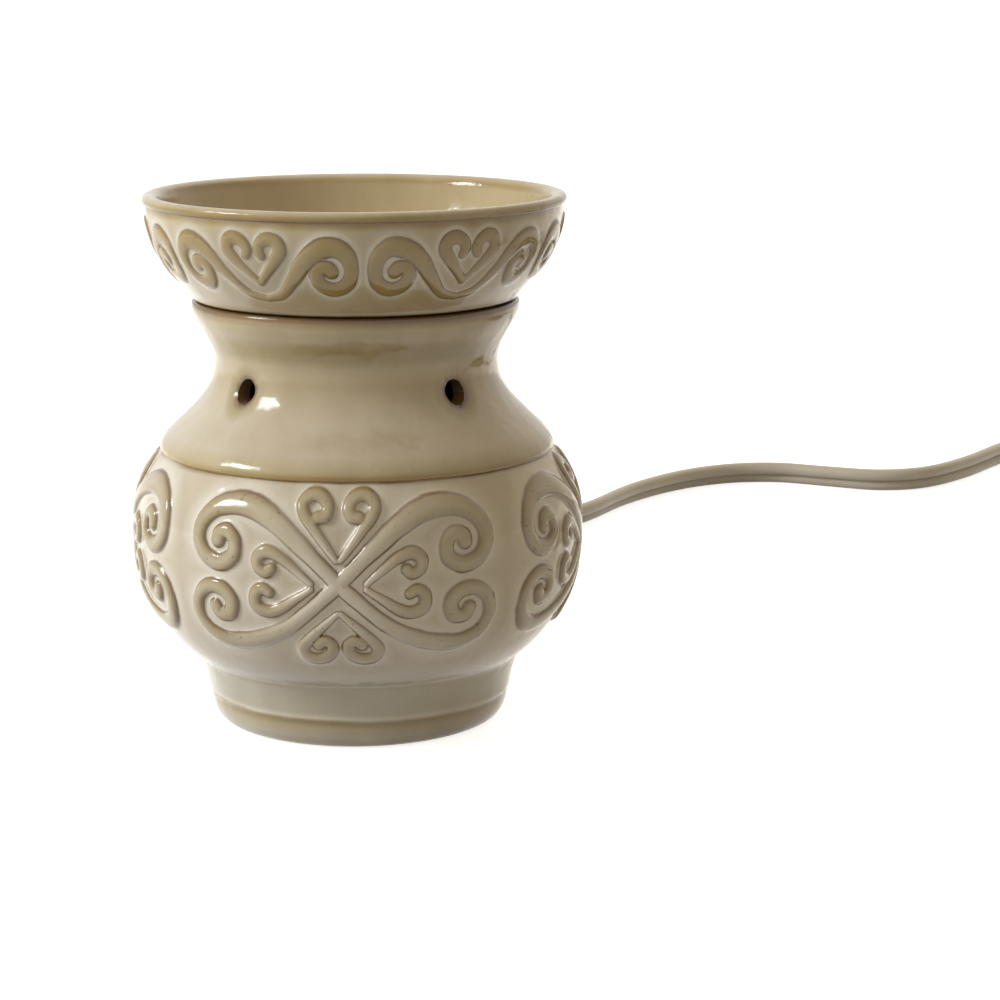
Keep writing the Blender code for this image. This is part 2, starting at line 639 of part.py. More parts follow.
def make_body(glaze):
    """The ceramic body with its vents, cord hole and pad pockets."""
    outside = body_outside()
    inside = body_inside(outside)
    rim = [(MOUTH_RADIUS - RIM_ROUND / 3, BODY_HEIGHT - RIM_ROUND / 3)]
    rim += [(MOUTH_RADIUS - RIM_ROUND, BODY_HEIGHT), (MOUTH_BORE, BODY_HEIGHT)]
    floor = [(FLOOR_HOLE_RADIUS, FLOOR_TOP), (FLOOR_HOLE_RADIUS, FLOOR_BOTTOM), (RING_BORE, FLOOR_BOTTOM)]
    band_bottom, band_top = BAND_FIRST_POINT, BAND_FIRST_POINT + BAND_ROWS
    hole = (math.pi / 2 - BELLY_TURN, CORD_HOLE_HEIGHT, CORD_HOLE_RADIUS)
    outline = outside[band_bottom:band_top + 1]
    band = relief_band(outline, BELLY_STROKES, BELLY_MOTIFS, ROUND_STEPS, BELLY_RELIEF, hole)
    turned_outside = [*outside[:band_bottom + 1], *outside[band_top:]]
    profile = [(RING_BORE, FOOT_LIFT), *turned_outside, *rim, *inside[::-1], *floor]
    body = turned("body_shell", profile, glaze, band_after=band_bottom + 1, band=band)
    body.rotation_euler.z = BELLY_TURN
    for i in range(VENT_COUNT):
        vent = disc(f"vent_cutter_{i + 1}", VENT_RADIUS, 0, BELLY_RADIUS, glaze, 12)
        vent.location.z = VENT_HEIGHT
        vent.rotation_euler = (0, math.pi / 2, VENT_FIRST_ANGLE + math.tau * i / VENT_COUNT)
        cut(vent, body)
    cord_hole = disc("cord_hole_cutter", CORD_HOLE_RADIUS, RING_BORE, 2 * BELLY_RADIUS, glaze)
    cord_hole.location.z = CORD_HOLE_HEIGHT
    cord_hole.rotation_euler.x = -math.pi / 2
    cut(cord_hole, body)
    return body, outside, inside


def make_pads(body, rubber):
    """Soft pads set in pockets of the foot."""
    for i in range(PAD_COUNT):
        angle = math.tau * (i + 0.5) / PAD_COUNT
        place = Vector((math.cos(angle), math.sin(angle), 0)) * PAD_CIRCLE
        pad = disc(f"foot_pad_{i + 1}", PAD_RADIUS, 0, PAD_HEIGHT, rubber, 12)
        pad.location = place
        pocket = disc(f"pad_cutter_{i + 1}", PAD_RADIUS + GAP, -PAD_HEIGHT, PAD_HEIGHT + GAP, rubber, 12)
        pocket.location = place
        cut(pocket, body)


def make_dish(glaze):
    """The open dish, with a spigot under it that finds the mouth of the body."""
    spigot = MOUTH_BORE - SPIGOT_CLEARANCE
    lip = DISH_HEIGHT - DISH_LIP_HEIGHT
    under = [(0, 0), (spigot - SPIGOT_WIDTH, 0), (spigot - SPIGOT_WIDTH, -SPIGOT_DEPTH)]
    under += [(spigot, -SPIGOT_DEPTH), (spigot, 0)]
    swell = DISH_WALL_RADIUS - DISH_FOOT_RADIUS
    foot_handle = (DISH_FOOT_RADIUS + 0.13 * swell, 0.16 * lip)
    wall_handle = (DISH_WALL_RADIUS - 0.04 * swell, 0.4 * lip)
    outside = bezier((DISH_FOOT_RADIUS, 0), foot_handle, wall_handle, (DISH_WALL_RADIUS, lip), 8)
    lip_round = DISH_LIP_HEIGHT / 3
    rim = [(DISH_RIM_RADIUS, lip + lip_round), (DISH_RIM_RADIUS, lip + 2 * lip_round)]
    rim += [(DISH_RIM_RADIUS - lip_round, DISH_HEIGHT)]
    rim += [(DISH_RIM_RADIUS - DISH_LIP_WIDTH, DISH_HEIGHT - lip_round / 2)]
    bowl = DISH_HEIGHT - lip_round / 2 - DISH_FLOOR
    rim_handle = (rim[-1][0] - 0.1 * (rim[-1][0] - DISH_BOWL_RADIUS), DISH_FLOOR + 0.36 * bowl)
    floor_handle = (DISH_BOWL_RADIUS + 0.62 * (rim[-1][0] - DISH_BOWL_RADIUS), DISH_FLOOR)
    inside = bezier(rim[-1], rim_handle, floor_handle, (DISH_BOWL_RADIUS, DISH_FLOOR), 8)[1:]
    band = relief_band(outside[1:], DISH_STROKES, DISH_MOTIFS, DISH_STEPS, DISH_RELIEF)
    profile = [*under, *outside[:2], outside[-1], *rim, *inside, (0, DISH_FLOOR)]
    dish = turned("wax_dish", profile, glaze, DISH_STEPS, len(under) + 1, band)
    dish.location.z = DISH_SEAT
    dish.rotation_euler.z = DISH_TURN


def make_lamp_holder(steel, brass, phenolic):
    """Plate and bridge clamped to the floor by a nipple and two nuts, with the lamp socket on top."""
    bore = NIPPLE_RADIUS + GAP
    ring("base_plate", bore, RING_BORE - PLATE_EDGE_CLEARANCE, PLATE_BOTTOM, PLATE_TOP, steel, 32)
    for name, bottom in (("base_nut", LOWER_NUT_BOTTOM), ("bridge_nut", UPPER_NUT_BOTTOM)):
        hexagon = hexagon_outline(NUT_ACROSS_FLATS)
        prism(name, hexagon, bottom, bottom + NUT_THICKNESS, steel, circle_outline(bore, len(hexagon)))
    nipple_bottom = LOWER_NUT_BOTTOM - NIPPLE_BELOW_NUT
    ring("nipple", NIPPLE_BORE, NIPPLE_RADIUS, nipple_bottom, SOCKET_BOTTOM + NIPPLE_GRIP, steel)
    strip = rounded_outline(2 * (FLOOR_HOLE_RADIUS + BRIDGE_BEARING), BRIDGE_WIDTH, BRIDGE_CORNER)
    bridge = prism("clamp_bridge", strip, BRIDGE_BOTTOM, BRIDGE_BOTTOM + BRIDGE_THICKNESS, steel)
    cut(disc("bridge_cutter", bore, FLOOR_BOTTOM, SOCKET_TOP, steel), bridge)

    grip_top = SOCKET_BOTTOM + NIPPLE_GRIP + GAP
    socket = [(0, grip_top), (bore, grip_top), (bore, SOCKET_BOTTOM), (SOCKET_RADIUS, SOCKET_BOTTOM)]
    socket += [(SOCKET_RADIUS, SOCKET_TOP), (SOCKET_BORE, SOCKET_TOP)]
    socket += [(SOCKET_BORE, SOCKET_FLOOR), (0, SOCKET_FLOOR)]
    turned("socket_body", socket, phenolic, 24)
    shell_top = SOCKET_TOP - SHELL_BELOW_RIM
    ring("socket_screw_shell", SHELL_BORE, SHELL_BORE + SHELL_WALL, CONTACT_BOTTOM, shell_top, brass, 24)
    disc("socket_contact", CONTACT_RADIUS, CONTACT_BOTTOM, CONTACT_BOTTOM + CONTACT_THICKNESS, brass, 16)
    for name, side in (("terminal_screw_live", 1), ("terminal_screw_neutral", -1)):
        screw = disc(name, TERMINAL_RADIUS, 0, TERMINAL_LENGTH, brass, 16)
        screw.location = (side * (SOCKET_RADIUS + GAP), 0, TERMINAL_HEIGHT)
        screw.rotation_euler.y = side * math.pi / 2


def make_lamp(glass, nickel, enamel, brass):
    """A small screw-cap lamp: tip, insulator, threaded cap, bulb, stem and filament."""
    tip_edge = TIP_BOTTOM + TIP_HEIGHT / 2
    tip = [(0, TIP_BOTTOM), (0.7 * TIP_RADIUS, TIP_BOTTOM), (TIP_RADIUS, tip_edge)]
    tip += [(TIP_RADIUS, TIP_BOTTOM + TIP_HEIGHT), (0, TIP_BOTTOM + TIP_HEIGHT)]
    turned("bulb_tip_contact", tip, brass, 16)
    cone_top = INSULATOR_BOTTOM + INSULATOR_HEIGHT
    cone_radius = TIP_RADIUS + INSULATOR_BORDER
    cone = [(0, INSULATOR_BOTTOM), (cone_radius, INSULATOR_BOTTOM), (CAP_BORE, cone_top), (0, cone_top)]
    turned("bulb_insulator", cone, enamel, 20)

    rib = CAP_HEIGHT / (2 * CAP_THREADS + 1)
    root = CAP_RADIUS - CAP_THREAD_DEPTH
    cap = [(0, CAP_BOTTOM)]
    for i in range(2 * CAP_THREADS + 2):
        cap.append((CAP_RADIUS if i % 2 else root, CAP_BOTTOM + i * rib))
    cap += [(CAP_BORE, CAP_TOP), (CAP_BORE, CAP_BOTTOM + CAP_WALL), (0, CAP_BOTTOM + CAP_WALL)]
    turned("bulb_cap", cap, nickel, 20)

    widest = (GLASS_RADIUS, GLASS_BOTTOM + GLASS_WIDEST)
    neck = (GLASS_NECK, CAP_TOP + GAP)
    top = (0, GLASS_BOTTOM + GLASS_HEIGHT)
    swell = widest[1] - neck[1]
    neck_handle, widest_handle = (GLASS_NECK, neck[1] + 0.4 * swell), (GLASS_RADIUS, widest[1] - 0.45 * swell)
    flank = bezier(neck, neck_handle, widest_handle, widest, 6)
    crown = 0.55 * (top[1] - widest[1])
    dome = bezier(widest, (GLASS_RADIUS, widest[1] + crown), (0.55 * GLASS_RADIUS, top[1]), top, 6)
    outside = [(GLASS_NECK, GLASS_BOTTOM), *flank, *dome[1:]]
    inside = offset_inwards(outside, GLASS_WALL)
    inside[-1] = (0, top[1] - GLASS_WALL)
    turned("bulb_glass", [*outside[::-1], *inside], glass, 24)

    flare = GLASS_NECK - GLASS_WALL - GAP
    stem = [(0, STEM_BOTTOM), (flare, STEM_BOTTOM), (flare, STEM_BOTTOM + STEM_FLARE)]
    stem += [(STEM_RADIUS, STEM_BOTTOM + 3 * STEM_FLARE), (STEM_RADIUS, STEM_TOP), (0, STEM_TOP)]
    turned("bulb_stem", stem, glass, 16)

    foot, span, crest = FILAMENT_FEET / 2, FILAMENT_SPAN / 2, STEM_TOP + FILAMENT_RISE
    route = [(-foot, 0, STEM_TOP + GAP), (-foot, 0, STEM_TOP + 3 * GAP), (-span, 0, crest)]
    route += [(x * span, 0, crest + dip * MM) for x, dip in ((-0.6, -1), (-0.2, 1), (0.2, -1), (0.6, 1))]
    route += [(span, 0, crest), (foot, 0, STEM_TOP + 3 * GAP), (foot, 0, STEM_TOP + GAP)]
    tube("bulb_filament", [Vector(p) for p in route], FILAMENT_WIRE, nickel, 1)


def make_wiring(outside, inside, rubber, live_colour, neutral_colour):
    """Strain relief through the wall, and the two cores from it to the socket's screws."""
    head_face = radius_at(inside, CORD_HOLE_HEIGHT - RELIEF_HEAD_RADIUS) - RELIEF_HEAD_CLEARANCE
    head_back = head_face - RELIEF_HEAD_LENGTH
    taper = radius_at(outside, CORD_HOLE_HEIGHT + RELIEF_RADIUS) + RELIEF_PROUD
    tip = taper + RELIEF_TAPER_LENGTH
    profile = [(0, head_back), (RELIEF_HEAD_RADIUS, head_back), (RELIEF_HEAD_RADIUS, head_face)]
    profile += [(RELIEF_RADIUS, head_face), (RELIEF_RADIUS, taper), (RELIEF_TIP_RADIUS, tip), (0, tip)]
    relief = turned("cord_strain_relief", profile, rubber, 20)
    relief.location.z = CORD_HOLE_HEIGHT
    relief.rotation_euler.x = -math.pi / 2

    start_y = head_back - GAP
    end_y = TERMINAL_RADIUS + GAP
    end_x = SOCKET_RADIUS + 2 * GAP + WIRE_DIAMETER / 2
    for name, side, colour in (("wire_live", 1, live_colour), ("wire_neutral", -1, neutral_colour)):
        start_x = side * CORD_CORES_APART / 2
        route = [(start_x, start_y, CORD_HOLE_HEIGHT), (start_x, start_y - WIRE_DIAMETER, CORD_HOLE_HEIGHT)]
        middle_y = (start_y + end_y) / 2
        route.append((side * 0.6 * end_x, middle_y, (CORD_HOLE_HEIGHT + TERMINAL_HEIGHT) / 2))
        route += [(side * end_x, end_y + 2 * WIRE_DIAMETER, TERMINAL_HEIGHT)]
        route += [(side * end_x, end_y, TERMINAL_HEIGHT)]
        tube(name, smooth_points([Vector(p) for p in route], WIRE_POINT_STEP), WIRE_DIAMETER, colour)
    return tip


def make_switch(plastic, dark, brass, steel):
    """Two shells screwed together round a thumb wheel on its axle, with two contact leaves."""
    switch = frame_empty("switch_frame", SWITCH_PLACE, SWITCH_HEADING)

    def outline(inset, height):
        flat = rounded_outline(SWITCH_LENGTH - 2 * inset, SWITCH_WIDTH - 2 * inset, SWITCH_CORNER - inset)
        return [(x, y, height) for x, y in flat]

    low, high = SWITCH_SPLIT - GAP / 2, SWITCH_SPLIT + GAP / 2
    lower_edge, upper_edge = SWITCH_BOTTOM + SWITCH_EDGE, SWITCH_HEIGHT - SWITCH_EDGE
    lower_sections = [outline(SWITCH_EDGE, SWITCH_BOTTOM), outline(0, lower_edge), outline(0, low)]
    upper_sections = [outline(0, high), outline(0, upper_edge), outline(SWITCH_EDGE, SWITCH_HEIGHT)]
    lower = skin("switch_lower_shell", lower_sections, plastic)
    upper = skin("switch_upper_shell", upper_sections, plastic)
    inner_length = SWITCH_LENGTH - 2 * SWITCH_SOLID_END
    inner_width = SWITCH_WIDTH - 2 * SWITCH_WALL
    room_floor = SWITCH_BOTTOM + SWITCH_WALL
    room_roof = SWITCH_HEIGHT - SWITCH_WALL
    room_outline = rounded_outline(inner_length, inner_width, SWITCH_WALL, 2)
    room = prism("switch_room_cutter", room_outline, room_floor, room_roof, dark)
    cut(room, lower, upper)
    slot_half = math.sqrt(WHEEL_RADIUS**2 - (room_roof - SWITCH_SPLIT) ** 2) + WHEEL_CLEARANCE
    slot_outline = rounded_outline(2 * slot_half, WHEEL_WIDTH + 2 * WHEEL_CLEARANCE, WHEEL_CLEARANCE, 2)
    slot = prism("switch_slot_cutter", slot_outline, SWITCH_SPLIT + WHEEL_RADIUS / 4, 2 * SWITCH_HEIGHT, dark)
    cut(slot, upper)

    seat_half = inner_width / 2 + AXLE_SEAT
    seat = disc("axle_cutter", AXLE_RADIUS + GAP, -seat_half, seat_half, dark, 16)
    cut(seat, lower, upper)
    axle = disc("switch_axle", AXLE_RADIUS, GAP - seat_half, seat_half - GAP, steel, 16)
    rim = []
    for i, (x, y) in enumerate(circle_outline(1.0, 2 * WHEEL_RIBS)):
        reach = WHEEL_RADIUS - WHEEL_RIB_DEPTH * (i % 2)
        rim.append((reach * x, reach * y))
    bore = circle_outline(AXLE_RADIUS + GAP, 2 * WHEEL_RIBS)
    wheel = prism("switch_wheel", rim, -WHEEL_WIDTH / 2, WHEEL_WIDTH / 2, dark, bore)
    wheel_axis = frame_empty("switch_wheel_axis", (0, 0, SWITCH_SPLIT), parent=switch)
    for piece in (seat, axle, wheel):
        piece.rotation_euler.x = math.pi / 2
        piece.parent = wheel_axis

    leaf_bottom = room_floor + GAP
    for name, side in (("switch_contact_in", -1), ("switch_contact_out", 1)):
        back = side * (inner_length / 2 - GAP)
        front = back - side * LEAF_LENGTH
        step = back - side * (LEAF_LENGTH - LEAF_THICKNESS)
        corners = [(back, leaf_bottom), (front, leaf_bottom), (front, leaf_bottom + LEAF_RISE)]
        corners += [(step, leaf_bottom + LEAF_RISE), (step, leaf_bottom + LEAF_THICKNESS)]
        corners += [(back, leaf_bottom + LEAF_THICKNESS)]
        leaf = prism(name, corners, -LEAF_WIDTH / 2, LEAF_WIDTH / 2, brass)
        leaf.rotation_euler.x = math.pi / 2
        leaf.parent = switch

    head_bottom = SWITCH_BOTTOM + GAP
    head_top = head_bottom + SCREW_HEAD_HEIGHT
    screw_top = SWITCH_HEIGHT - SCREW_TOP_COVER
    for i, side in enumerate((-1, 1)):
        place = (side * (SWITCH_LENGTH / 2 - SCREW_FROM_END), -side * SCREW_OFFSET, 0)
        profile = [(0, head_bottom), (SCREW_HEAD, head_bottom), (SCREW_HEAD, head_top)]
        profile += [(SCREW_SHANK, head_top), (SCREW_SHANK, screw_top - GAP), (0, screw_top - GAP)]
        screw = turned(f"switch_screw_{i + 1}", profile, steel, 12)
        hole = [(0, -SCREW_HEAD), (SCREW_HEAD + GAP, -SCREW_HEAD), (SCREW_HEAD + GAP, head_top + GAP)]
        hole += [(SCREW_SHANK + GAP, head_top + GAP), (SCREW_SHANK + GAP, screw_top), (0, screw_top)]
        cutter = turned(f"screw_cutter_{i + 1}", hole, steel, 12)
        cut(cutter, lower, upper)
        for piece in (screw, cutter):
            piece.location = place
            piece.parent = switch
    for piece in (lower, upper, room, slot):
        piece.parent = switch


def make_plug(plastic, brass):
    """A moulded plug with a round tail for the cord and two flat blades."""
    plug = frame_empty("plug_frame", PLUG_PLACE + Vector((0, 0, PLUG_AXIS)), PLUG_HEADING)

    def section(along, half_width, half_height, squareness):
        loop = []
        for x, y in circle_outline(1.0, 24):
            wide = math.copysign(abs(x) ** (2 / squareness), x)
            high = math.copysign(abs(y) ** (2 / squareness), y)
            loop.append((along, half_width * wide, half_height * high))
        return loop

    tail = CORD_DIAMETER / 2 + PLUG_TAIL_WALL
    full = PLUG_TAIL_LENGTH + PLUG_SHOULDER
    tail_end = tail + PLUG_TAIL_WALL
    sections = [section(0, tail, tail, 2), section(PLUG_TAIL_LENGTH, tail_end, tail_end, 2)]
    sections += [section(full, PLUG_HALF_WIDTH, PLUG_HALF_HEIGHT, 4)]
    sections += [section(PLUG_LENGTH - PLUG_EDGE, PLUG_HALF_WIDTH, PLUG_HALF_HEIGHT, 4)]
    sections += [section(PLUG_LENGTH, PLUG_HALF_WIDTH - PLUG_EDGE, PLUG_HALF_HEIGHT - PLUG_EDGE, 4)]
    body = skin("plug_body", sections, plastic)
    body.parent = plug
    root, tip = PLUG_LENGTH + GAP, PLUG_LENGTH + GAP + BLADE_LENGTH
    blades = (("plug_blade_live", 1, BLADE_LIVE_HEIGHT), ("plug_blade_neutral", -1, BLADE_NEUTRAL_HEIGHT))
    for name, side, height in blades:
        half = height / 2
        corners = [(root, -half), (tip - BLADE_TIP, -half), (tip, BLADE_TIP - half)]
        corners += [(tip, half - BLADE_TIP), (tip - BLADE_TIP, half), (root, half)]
        blade = prism(name, corners, -BLADE_THICKNESS / 2, BLADE_THICKNESS / 2, brass)
        blade.location.y = side * BLADE_SPACING / 2
        blade.rotation_euler.x = math.pi / 2
        blade.parent = plug
    back = Vector((math.cos(PLUG_HEADING), math.sin(PLUG_HEADING), 0))
    return PLUG_PLACE + Vector((0, 0, PLUG_AXIS)) - back * GAP, back


def coil_points():
    """Flat spirals in on the lower layer and out on the upper, with a climb in the half turn between them."""
    turns_in = round(COIL_TURNS_IN * COIL_LOOP_POINTS)
    half_turn = COIL_LOOP_POINTS // 2
    turns_out = round(COIL_TURNS_OUT * COIL_LOOP_POINTS)
    points = []
    for i in range(turns_in + half_turn + turns_out + 1):
        if i <= turns_in:
            radius, height = COIL_OUTER_RADIUS - COIL_PITCH * i / COIL_LOOP_POINTS, COIL_BOTTOM
        elif i <= turns_in + half_turn:
            share = (i - turns_in) / half_turn
            radius = COIL_INNER_RADIUS - COIL_PITCH / 4 * (1 - abs(2 * share - 1))
            height = COIL_BOTTOM + COIL_PITCH * share * share * (3 - 2 * share)
        else:
            radius = COIL_INNER_RADIUS + COIL_PITCH * (i - turns_in - half_turn) / COIL_LOOP_POINTS
            height = COIL_TOP
        angle = -math.tau * i / COIL_LOOP_POINTS
        points.append(COIL_PLACE + Vector((radius * math.cos(angle), radius * math.sin(angle), height)))
    return points


def least_gap(points, diameter):
    """The least space between parts of a tube that aren't neighbours along it."""
    line = np.array([tuple(p) for p in points])
    fine = np.concatenate([np.linspace(a, b, 6, endpoint=False) for a, b in zip(line, line[1:])])
    along = np.concatenate([[0], np.cumsum(np.linalg.norm(np.diff(fine, axis=0), axis=1))])
    distance = np.linalg.norm(fine[:, None] - fine[None], axis=2)
    apart = np.abs(along[:, None] - along[None]) > 4 * diameter
    return distance[apart].min() - diameter


def make_tie(points, strap):
    """A strap round the turns on one side of the coil."""
    radial = Vector((math.cos(TIE_ANGLE), math.sin(TIE_ANGLE), 0))
    up = Vector((0, 0, 1))
    reaches = []
    for point in points:
        flat = Vector((point.x, point.y, 0)) - COIL_PLACE
        if flat.angle(radial) < math.pi / COIL_LOOP_POINTS:
            reaches.append(flat.dot(radial))
    reach = CORD_DIAMETER / 2 + TIE_CLEARANCE
    length = max(reaches) - min(reaches) + 2 * reach
    bottom, top = TIE_THICKNESS + GAP, COIL_TOP + reach
    inner = rounded_outline(length, top - bottom, TIE_CORNER)
    around = 2 * TIE_THICKNESS
    outer = rounded_outline(length + around, top - bottom + around, TIE_CORNER + TIE_THICKNESS)
    tie = prism("cord_tie", outer, -TIE_WIDTH / 2, TIE_WIDTH / 2, strap, inner)
    tie.location = COIL_PLACE + radial * (max(reaches) + min(reaches)) / 2 + up * (top + bottom) / 2
    tie.rotation_euler = Matrix((radial, up, radial.cross(up))).transposed().to_euler()


def make_cord(relief_tip, plug_tail, plug_heading, jacket, strap):
    """The cord in the stretches that it is cut into by the switch and the coil."""
    forward = Vector((math.cos(SWITCH_HEADING), math.sin(SWITCH_HEADING), 0))
    entry = SWITCH_PLACE + Vector((0, 0, SWITCH_ENTRY)) - forward * (SWITCH_LENGTH / 2 + GAP)
    leave = entry + forward * (SWITCH_LENGTH + 2 * GAP)
    start = Vector((0, relief_tip + GAP, CORD_HOLE_HEIGHT))
    straight = 2 * CORD_DIAMETER
    lead = [start, start + Vector((0, straight, 0)), *[Vector(p) for p in LEAD_ROUTE]]
    lead += [entry - forward * straight, entry]
    lead_points = smooth_points(lead, CORD_POINT_STEP)
    tube("cord_lead", lead_points, CORD_DIAMETER, jacket)

    coil = coil_points()
    coil_in = (coil[1] - coil[0]).normalized()
    coil_out = (coil[-1] - coil[-2]).normalized()
    link_end = coil[0] - coil_in * GAP
    link = [leave, leave + forward * straight, link_end - coil_in * straight, link_end]
    link_points = smooth_points(link, CORD_POINT_STEP)
    tube("cord_link", link_points, CORD_DIAMETER, jacket)
    tube("cord_coil", coil, CORD_DIAMETER, jacket, 1)
    tail_start = coil[-1] + coil_out * GAP
    tail = [tail_start, tail_start + coil_out * straight]
    tail += [plug_tail - plug_heading * straight, plug_tail]
    tail_points = smooth_points(tail, CORD_POINT_STEP)
    tube("cord_tail", tail_points, CORD_DIAMETER, jacket)
    make_tie(coil, strap)

    runs = (lead_points, link_points, coil, tail_points)
    length = sum((b - a).length for run in runs for a, b in zip(run, run[1:]))
    print(f"cord length {length:.3f} m, least gap in the coil {least_gap(coil, CORD_DIAMETER) * 1000:.2f} mm")


def main():
    clear_scene()
    glaze = finish("cream_glaze", (0.75, 0.66, 0.53), 0.25)
    steel = finish("zinc_steel", (0.62, 0.63, 0.65), 0.35, 1.0)
    brass = finish("brass", (0.78, 0.60, 0.30), 0.3, 1.0)
    nickel = finish("nickel", (0.70, 0.68, 0.64), 0.3, 1.0)
    phenolic = finish("dark_phenolic", (0.05, 0.045, 0.04), 0.45)
    enamel = finish("black_glass", (0.03, 0.03, 0.035), 0.2)
    glass = finish("lamp_glass", (0.85, 0.88, 0.88), 0.05)
    rubber = finish("clear_rubber", (0.75, 0.73, 0.68), 0.6)
    jacket = finish("beige_cord", (0.60, 0.55, 0.46), 0.5)
    live = finish("live_wire", (0.10, 0.09, 0.09), 0.5)
    neutral = finish("neutral_wire", (0.85, 0.84, 0.80), 0.5)
    plastic = finish("ivory_plastic", (0.74, 0.68, 0.56), 0.4)
    dark = finish("brown_plastic", (0.16, 0.11, 0.08), 0.4)

    body, outside, inside = make_body(glaze)
    make_pads(body, rubber)
    make_dish(glaze)
    make_lamp_holder(steel, brass, phenolic)
    make_lamp(glass, nickel, enamel, brass)
    relief_tip = make_wiring(outside, inside, jacket, live, neutral)
    make_switch(plastic, dark, brass, steel)
    plug_tail, plug_heading = make_plug(plastic, brass)
    make_cord(relief_tip, plug_tail, plug_heading, jacket, dark)


main()
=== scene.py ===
"""Looks of the electric wax warmer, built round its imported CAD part. Metres, +Z up, front towards -Y."""

import json
import logging
import math
from dataclasses import dataclass, field
from enum import Enum
from functools import cache, reduce
from typing import Any, Sequence

import bmesh
import bpy
import numpy as np
from mathutils import Matrix, Vector


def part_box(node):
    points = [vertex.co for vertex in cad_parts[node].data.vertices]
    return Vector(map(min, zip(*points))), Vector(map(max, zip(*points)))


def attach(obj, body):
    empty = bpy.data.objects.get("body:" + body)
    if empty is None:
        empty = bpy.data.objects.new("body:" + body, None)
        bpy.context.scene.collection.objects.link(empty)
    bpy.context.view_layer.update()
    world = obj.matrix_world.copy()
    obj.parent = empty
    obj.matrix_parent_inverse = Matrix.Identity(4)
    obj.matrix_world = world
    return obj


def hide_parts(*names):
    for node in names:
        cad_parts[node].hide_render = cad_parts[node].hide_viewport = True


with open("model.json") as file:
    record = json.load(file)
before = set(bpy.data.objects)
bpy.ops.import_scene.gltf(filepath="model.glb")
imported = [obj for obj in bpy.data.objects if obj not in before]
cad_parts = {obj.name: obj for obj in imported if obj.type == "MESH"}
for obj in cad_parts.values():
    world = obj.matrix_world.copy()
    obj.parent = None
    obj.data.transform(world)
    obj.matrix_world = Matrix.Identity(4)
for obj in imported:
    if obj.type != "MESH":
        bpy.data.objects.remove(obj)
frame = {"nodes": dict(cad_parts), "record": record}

log = logging.getLogger("wax_warmer")
MM = 0.001
GAP = 0.3 * MM  # room between the cord and what it meets
WELD = 0.002 * MM  # points closer than this are one
WHITE = (1.0, 1.0, 1.0)
SMALL_SHARP = math.radians(42)  # edges of small pieces above this angle stay sharp
SPAN_POINTS = 24  # points between two stations of a cord's route
EXIT_HEIGHT = 21.5 * MM  # where the cord leaves the body
SWITCH_PLACE = Vector((0.2935, 0.262, 0.0))
PLUG_PLACE = Vector((0.2935, 0.036, 0.0073))
PLUG_HEADING = math.radians(-92)
Colour = tuple[float, float, float]
Point2 = tuple[float, float]
Point3 = tuple[float, float, float]
Station = tuple[float, float, float, float]
Stop = tuple[float, Colour, float]
Socket = bpy.types.NodeSocket


class Body(Enum):
    """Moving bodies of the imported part."""

    WARMER = "warmer"
    DISH = "dish"
    LAMP = "lamp"
    LAMP_THREAD = "lamp_thread"
    WHEEL = "thumb_wheel"


class Slot(Enum):
    """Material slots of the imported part."""

    GLAZE = "cream_glaze"
    STEEL = "zinc_steel"
    BRASS = "brass"
    NICKEL = "nickel"
    PHENOLIC = "dark_phenolic"
    BLACK_GLASS = "black_glass"
    GLASS = "lamp_glass"
    RUBBER = "clear_rubber"
    CORD = "beige_cord"
    LIVE = "live_wire"
    NEUTRAL = "neutral_wire"
    IVORY = "ivory_plastic"
    BROWN = "brown_plastic"


class Tint(Enum):
    """Colours that the glaze takes as it thins over edges and pools in hollows (linear light)."""

    POOL = (0.800, 0.745, 0.630)
    CREAM = (0.645, 0.560, 0.425)
    STONE = (0.585, 0.538, 0.420)
    GREIGE = (0.550, 0.448, 0.282)
    HONEY = (0.550, 0.450, 0.255)
    TAN = (0.410, 0.318, 0.142)
    SAND = (0.372, 0.252, 0.045)
    OCHRE = (0.340, 0.225, 0.095)
    BROWN = (0.160, 0.088, 0.030)


